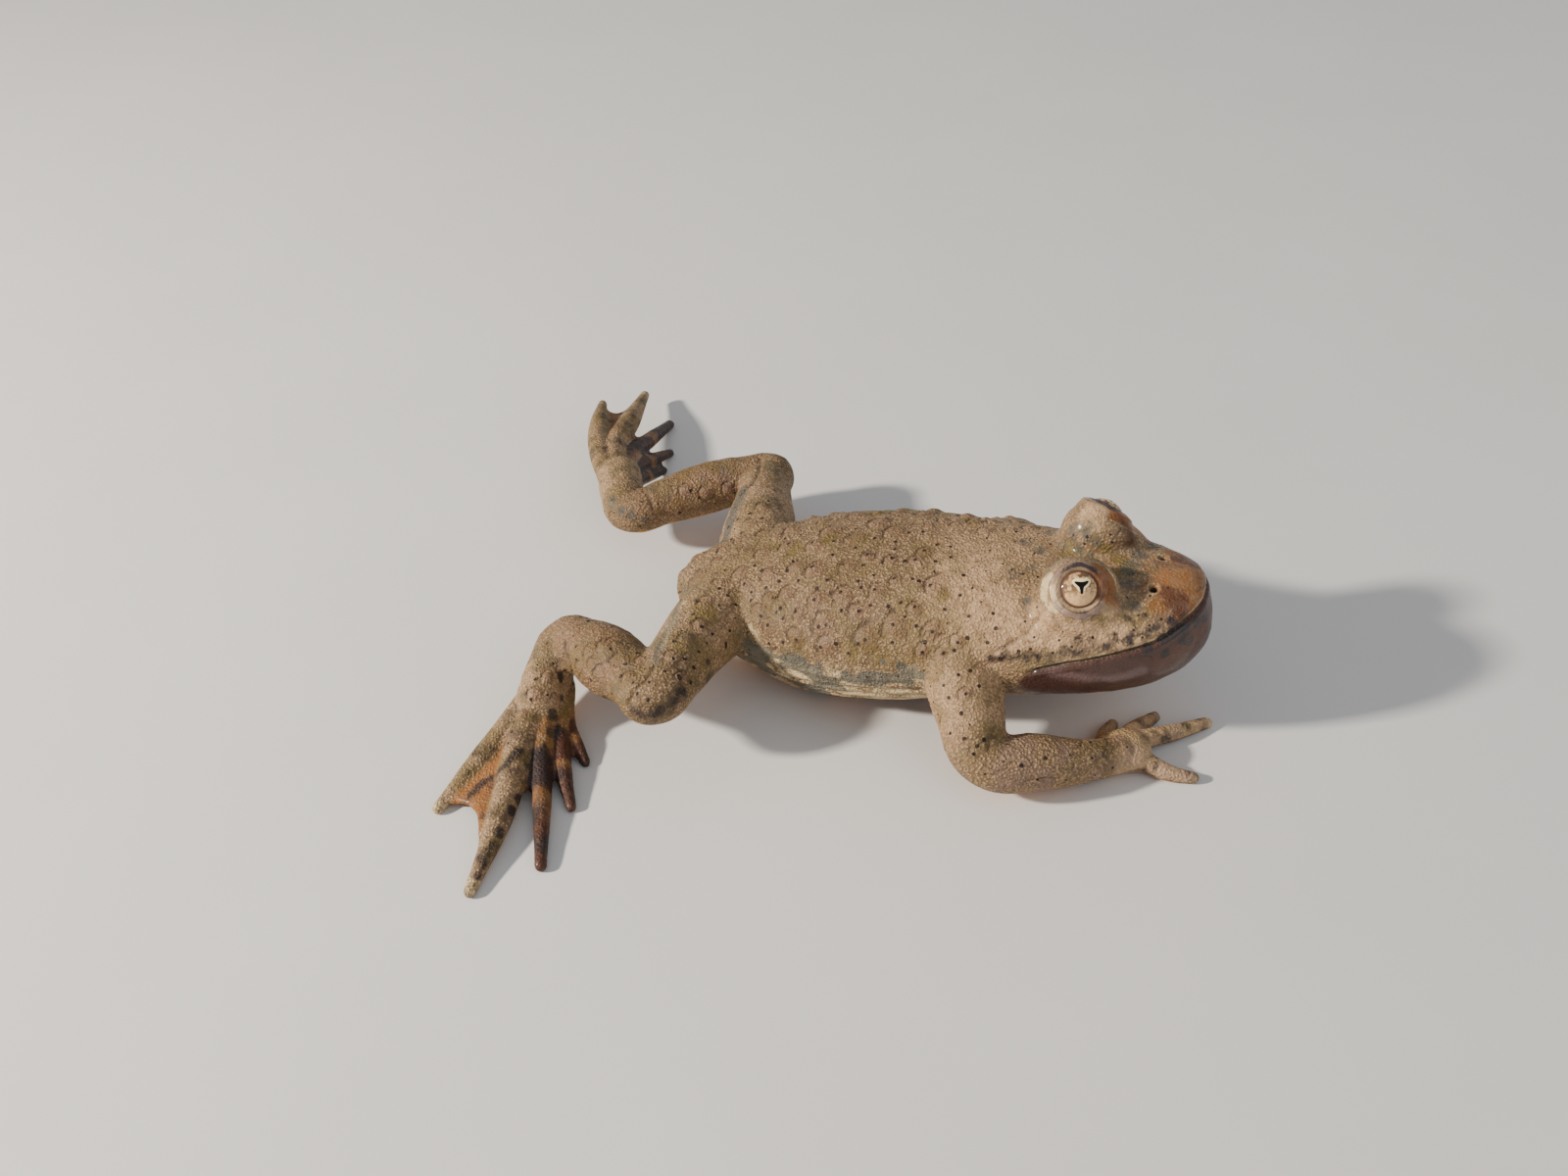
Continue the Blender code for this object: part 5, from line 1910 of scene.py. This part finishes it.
    @staticmethod
    def paint_digits(skin: SkinField, blots: Array, mottles: Array) -> None:
        """Tints the fingers, the toes and the webs.

        Args:
            skin: The skin.
            blots: A noise for the spots.
            mottles: A finer noise for the marbling.
        """
        down = skin.down
        share = skin.digit_share + 0.1 * blots
        darkness = ease(0.7, 0.85, skin.digit_dark)
        dark_toe = darkness * skin.digit
        bands = ease(0.28, 0.42, share) * ease(0.66, 0.58, share) + ease(0.66, 0.76, share)
        skin.add(Tint.PLUM, 0.8 * dark_toe * bands)
        skin.add(Tint.DARK, 0.7 * dark_toe * bands * ease(-0.5, 0.2, blots))
        skin.add(Tint.AMBER, 0.45 * dark_toe * ease(0.12, 0.3, share))
        skin.add(Tint.RUST, 0.42 * dark_toe * ease(0.3, 0.5, share))
        skin.add(Tint.OLIVE, 0.8 * dark_toe * ease(0.35, 0.15, share))
        skin.add(Tint.SMOOTH, 0.3 * dark_toe)
        pale_toe = (1 - darkness) * skin.digit
        finger = skin.hand_gap < 0.5
        wave = np.sin(math.tau * skin.digit_along / 3.6) + 0.9 * blots
        rings = 0.45 * pale_toe * ease(0.35, 0.9, wave) * ease(0.1, 0.3, share)
        skin.add(Tint.DARK, rings * ease(0.7, 0.3, down))
        skin.add(Tint.RUST, 0.5 * pale_toe * bell(down - 0.35, 0.3) * finger)
        skin.add(Tint.CREAM, 0.5 * pale_toe * ease(0.9, 0.98, skin.digit_share))
        skin.add(Tint.ROSY, 0.4 * pale_toe * ease(0.5, 0.0, down))
        skin.add(Tint.CREAM, 0.2 * pale_toe * finger * ease(0.4, 0.0, down))
        toe = pale_toe * (skin.foot_gap < 0.5) * ease(0.6, 0.1, down)
        skin.add(Tint.OLIVE, 0.65 * toe * ease(-0.2, 0.3, mottles))
        skin.add(Tint.DARK, 0.42 * toe * ease(0.3, 0.6, mottles))
        web = ease(0.0, 0.35, skin.foot_gap) * (skin.foot_gap < 4.0) * (skin.digit_gap < skin.limb_gap)
        web = web * (skin.trunk_gap > 3.0)
        skin.add(Tint.AMBER, 0.85 * web)
        skin.add(Tint.RUST, 0.35 * web * ease(-0.2, 0.4, blots))
        skin.add(Tint.SMOOTH, 0.2 * web)


@dataclass(frozen=True)
class EyeFinish:
    """The wet eye: a cream rim round a dark three-cornered pupil, a netted iris and a dark edge."""

    pupil: Colour = linear(16, 3, 2)
    rim: Colour = linear(255, 234, 176)
    iris_light: Colour = linear(220, 178, 126)
    iris_dark: Colour = linear(156, 120, 82)
    net: Colour = linear(84, 58, 42)
    edge: Colour = linear(86, 58, 42)
    fine_scale: float = 6500.0
    coarse_scale: float = 1900.0
    net_scale: float = 3000.0
    net_share: float = 0.75
    roughness: float = 0.5
    specular: float = 0.1
    coat: float = 0.8
    pupil_coat_loss: float = 0.7
    coat_roughness: float = 0.03
    coat_ior: float = 1.36

    def make(self, name: str) -> Material:
        """Builds the material.

        Args:
            name: The material's name.

        Returns:
            The material.
        """
        nodes = NodeSketch(name)
        low = nodes.attribute("low")
        reach = nodes.attribute("reach")
        outline = nodes.attribute("outline")
        rim = nodes.attribute("rim")
        fine = nodes.noise(self.fine_scale, 3.0, 0.6)
        coarse = nodes.noise(self.coarse_scale, 2.0)
        # Painted shade from the upper lid: the iris is darker towards its top and its net stronger there.
        shade = nodes.combine("ADD", nodes.scaled(low, 0.42), 0.18)
        tone = nodes.combine("ADD", shade, nodes.scaled(nodes.ramp(fine, 0.35, 0.62), 0.5))
        colour = nodes.blend(nodes.ramp(tone, 0.1, 0.85), self.iris_dark, self.iris_light)
        net = nodes.scaled(nodes.ramp(nodes.cells(self.net_scale), 0.42, 0.62), self.net_share)
        net = nodes.scaled(net, nodes.combine("SUBTRACT", 1.15, low))
        colour = nodes.blend(net, colour, self.net)
        colour = nodes.blend(nodes.scaled(nodes.ramp(coarse, 0.55, 0.75), 0.25), colour, self.net)
        colour = nodes.blend(nodes.ramp(reach, 0.555, 0.615), colour, self.edge)
        worn = nodes.combine("ADD", rim, nodes.scaled(nodes.combine("SUBTRACT", fine, 0.5), 0.8))
        colour = nodes.blend(nodes.ramp(worn, 0.25, 0.55), colour, self.rim)
        hole = nodes.inverse(nodes.ramp(outline, -0.03, 0.03))
        colour = nodes.blend(hole, colour, self.pupil)
        nodes.join(colour, "Base Color")
        nodes.fix("Roughness", self.roughness)
        nodes.fix("Specular IOR Level", self.specular)
        wet = nodes.combine("SUBTRACT", self.coat, nodes.scaled(hole, self.pupil_coat_loss))
        nodes.join(wet, "Coat Weight")
        nodes.fix("Coat Roughness", self.coat_roughness)
        nodes.fix("Coat IOR", self.coat_ior)
        return nodes.material


@dataclass(frozen=True)
class Eyeball:
    """One eye as a ball with a slight cornea, its maps laid out round the gaze."""

    eye: EyePlace
    side: Side
    spine: Spine
    finish: EyeFinish = EyeFinish()
    rows: int = 120
    columns: int = 160
    cornea_rise: float = 0.1
    cornea_width: float = math.radians(38.0)
    pupil_roll: float = math.radians(-6.0)
    pupil_shape: tuple[Pair, ...] = (
        (-0.56, 0.32), (-0.4, 0.36), (-0.06, 0.3), (0.16, 0.31), (0.44, 0.38), (0.58, 0.33), (0.44, 0.14),
        (0.16, -0.1), (0.1, -0.42), (0.05, -0.6), (-0.1, -0.6), (-0.14, -0.36), (-0.2, -0.1),
        (-0.46, 0.17),
    )
    pupil_shift: Pair = (0.08, 0.22)

    def build(self, placement: Placement) -> bpy.types.Object:
        """Makes the eye.

        Args:
            placement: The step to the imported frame.

        Returns:
            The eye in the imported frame.
        """
        centre, gaze = self.eye.in_pose(self.side, self.spine)
        up = upright(gaze)
        right = np.cross(up, gaze)
        angles = np.concatenate([[0.0], np.linspace(0, math.pi, self.rows + 1)[1:-1], [math.pi]])
        turns = np.linspace(0, math.tau, self.columns, endpoint=False)
        places = [centre + gaze * (self.eye.radius + self.cornea_rise)]
        for angle in angles[1:-1]:
            reach = self.eye.radius + self.cornea_rise * float(bell(np.array(angle), self.cornea_width))
            around = np.outer(np.cos(turns), right) + np.outer(np.sin(turns), up)
            places.extend(centre + reach * (math.cos(angle) * gaze + math.sin(angle) * around))
        places.append(centre - gaze * self.eye.radius)
        points = np.array(places)
        mesh = bpy.data.meshes.new(f"{self.side.word}_eye_globe")
        mesh.from_pydata(placement.to_metres(points).tolist(), [], self.faces(len(points)))
        self.lay_maps(mesh, points - centre, right, up, gaze)
        mesh.shade_smooth()
        piece = added(f"{self.side.word}_eye_globe", mesh)
        piece.data.materials.append(self.finish.make(f"{self.side.word}_eye_gloss"))
        return piece

    def faces(self, count: int) -> list[list[int]]:
        """Lays out the ball's faces, turned out.

        Args:
            count: The number of its points.

        Returns:
            The faces as lists of point numbers.
        """
        made = []
        last = count - 1
        for j in range(self.columns):
            k = (j + 1) % self.columns
            made.append([0, 1 + j, 1 + k])
            for i in range(self.rows - 2):
                above, below = 1 + i * self.columns, 1 + (i + 1) * self.columns
                made.append([above + j, below + j, below + k, above + k])
            foot = 1 + (self.rows - 2) * self.columns
            made.append([foot + j, last, foot + k])
        return made

    def lay_maps(self, mesh: Mesh, offset: Array, right: Array, up: Array, gaze: Array) -> None:
        """Stores where each point is against the pupil and the iris.

        Args:
            mesh: The ball's mesh.
            offset: Its points from its centre.
            right: The direction to the right as one looks at the eye.
            up: The direction up.
            gaze: The direction of the gaze.
        """
        across, above = offset @ right, offset @ up
        lean_c, lean_s = math.cos(self.pupil_roll), math.sin(self.pupil_roll)
        flat = np.stack([across * lean_c + above * lean_s, above * lean_c - across * lean_s], axis=1)
        flat = flat - np.array(self.pupil_shift)
        outline = self.signed_distance(flat)
        width = 0.22 + 0.16 * ease(0.15, 0.4, flat[:, 1]) * ease(0.75, 0.3, np.abs(flat[:, 0]))
        rim = (1 - outline / width) * ease(-0.52, -0.28, flat[:, 1]) * ease(0.8, 0.66, np.abs(flat[:, 0]))
        ahead = offset @ gaze > 0
        maps = {
            "reach": np.where(ahead, np.hypot(across, above) / self.eye.radius, 1.0),
            "outline": np.where(ahead, outline, 2.0),
            "rim": np.where(ahead, np.clip(rim, 0, 1), 0.0),
            # low rises from the ball's top to its bottom, for the painted shade of the upper lid on the
            # iris.
            "low": ease(0.4, -0.9, above),
        }
        for name, values in maps.items():
            store(mesh, name, values)

    def signed_distance(self, flat: Array) -> Array:
        """Measures points against the pupil's outline.

        Args:
            flat: The points in the pupil's plane.

        Returns:
            Their distances from the outline, negative inside.
        """
        corners = np.array(self.pupil_shape)
        away = np.full(len(flat), np.inf)
        inside = np.zeros(len(flat), bool)
        for first, second in zip(corners, np.roll(corners, -1, axis=0)):
            step = second - first
            share = np.clip((flat - first) @ step / (step @ step), 0, 1)
            away = np.minimum(away, np.linalg.norm(flat - first - share[:, None] * step, axis=1))
            crosses = (first[1] > flat[:, 1]) != (second[1] > flat[:, 1])
            slope = (flat[:, 1] - first[1]) / (step[1] if step[1] else 1e-9)
            inside ^= crosses & (flat[:, 0] < first[0] + slope * step[0])
        return np.where(inside, -away, away)


@dataclass(frozen=True)
class Studio:
    """A pale floor, a key light with soft edges from behind the toad's right, a fill and an even sky."""

    floor_size: float = 2.4
    floor_drop: float = 0.00002
    floor_colour: Colour = (0.62, 0.6, 0.57)
    sky: Colour = (0.9, 0.93, 1.0)
    sky_strength: float = 0.5
    key_from: Triple = (-0.74, -0.46, 0.53)
    key_distance: float = 0.42
    key_size: float = 0.03
    key_power: float = 3.6
    key_colour: Colour = (1.0, 0.93, 0.83)
    fill_from: Triple = (0.75, -0.35, 0.6)
    fill_power: float = 0.45
    fill_size: float = 0.35
    fill_colour: Colour = (0.92, 0.96, 1.0)
    floor_lift: float = 1.03
    floor_cloud_scale: float = 40.0
    floor_roughness: float = 0.75

    def build(self) -> None:
        """Makes the floor and the lights."""
        half = self.floor_size / 2
        mesh = bpy.data.meshes.new("studio_floor")
        square = ((-half, -half), (half, -half), (half, half), (-half, half))
        corners = [(x, y, -self.floor_drop) for x, y in square]
        mesh.from_pydata(corners, [], [(0, 1, 2, 3)])
        floor = added("studio_floor", mesh)
        nodes = NodeSketch("studio_floor_paint")
        shade = nodes.ramp(nodes.noise(self.floor_cloud_scale, 3.0), 0.3, 0.7)
        lighter = tuple(min(1.0, value * self.floor_lift) for value in self.floor_colour)
        nodes.join(nodes.blend(shade, self.floor_colour, lighter), "Base Color")
        nodes.fix("Roughness", self.floor_roughness)
        mesh.materials.append(nodes.material)
        self.add_light("key_light", self.key_from, self.key_power, self.key_size, self.key_colour)
        self.add_light("fill_light", self.fill_from, self.fill_power, self.fill_size, self.fill_colour)
        world = bpy.data.worlds.new("studio_sky")
        world.use_nodes = True
        sky = world.node_tree.nodes["Background"]
        sky.inputs["Color"].default_value = (*self.sky, 1.0)
        sky.inputs["Strength"].default_value = self.sky_strength
        bpy.context.scene.world = world

    def add_light(self, name: str, origin: Triple, power: float, size: float, colour: Colour) -> None:
        """Adds a soft square light aimed at the toad.

        Args:
            name: The light's name.
            origin: The direction that it comes from.
            power: Its power in watts.
            size: Its side.
            colour: Its colour.
        """
        data = bpy.data.lights.new(name, "AREA")
        data.energy = power
        data.size = size
        data.color = colour
        light = added(name, data)
        away = Vector(origin).normalized()
        light.location = away * self.key_distance
        light.rotation_mode = "QUATERNION"
        light.rotation_quaternion = away.to_track_quat("Z", "Y")


def main() -> None:
    """Builds the skin, the eyes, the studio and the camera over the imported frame."""
    logging.basicConfig(level=logging.INFO, format="%(message)s")
    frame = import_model()
    anatomy = Anatomy()
    camera = PhotoCamera()
    placement = Placement.from_eye(anatomy.eye, anatomy.spine)
    skin = ToadSkin(anatomy, camera).build(placement)
    flesh = sorted(name for name in frame["nodes"] if not name.endswith("_eye"))
    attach(skin, "root")
    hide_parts(*flesh)
    logging.info("%s: %d points", skin.name, len(skin.data.vertices))
    for side in Side:
        globe = Eyeball(anatomy.eye, side, anatomy.spine).build(placement)
        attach(globe, "root")
        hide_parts(f"{side.word}_eye")
        logging.info("%s: %d points", globe.name, len(globe.data.vertices))
    Studio().build()
    camera.set_up(placement)


if __name__ == "__main__":
    main()
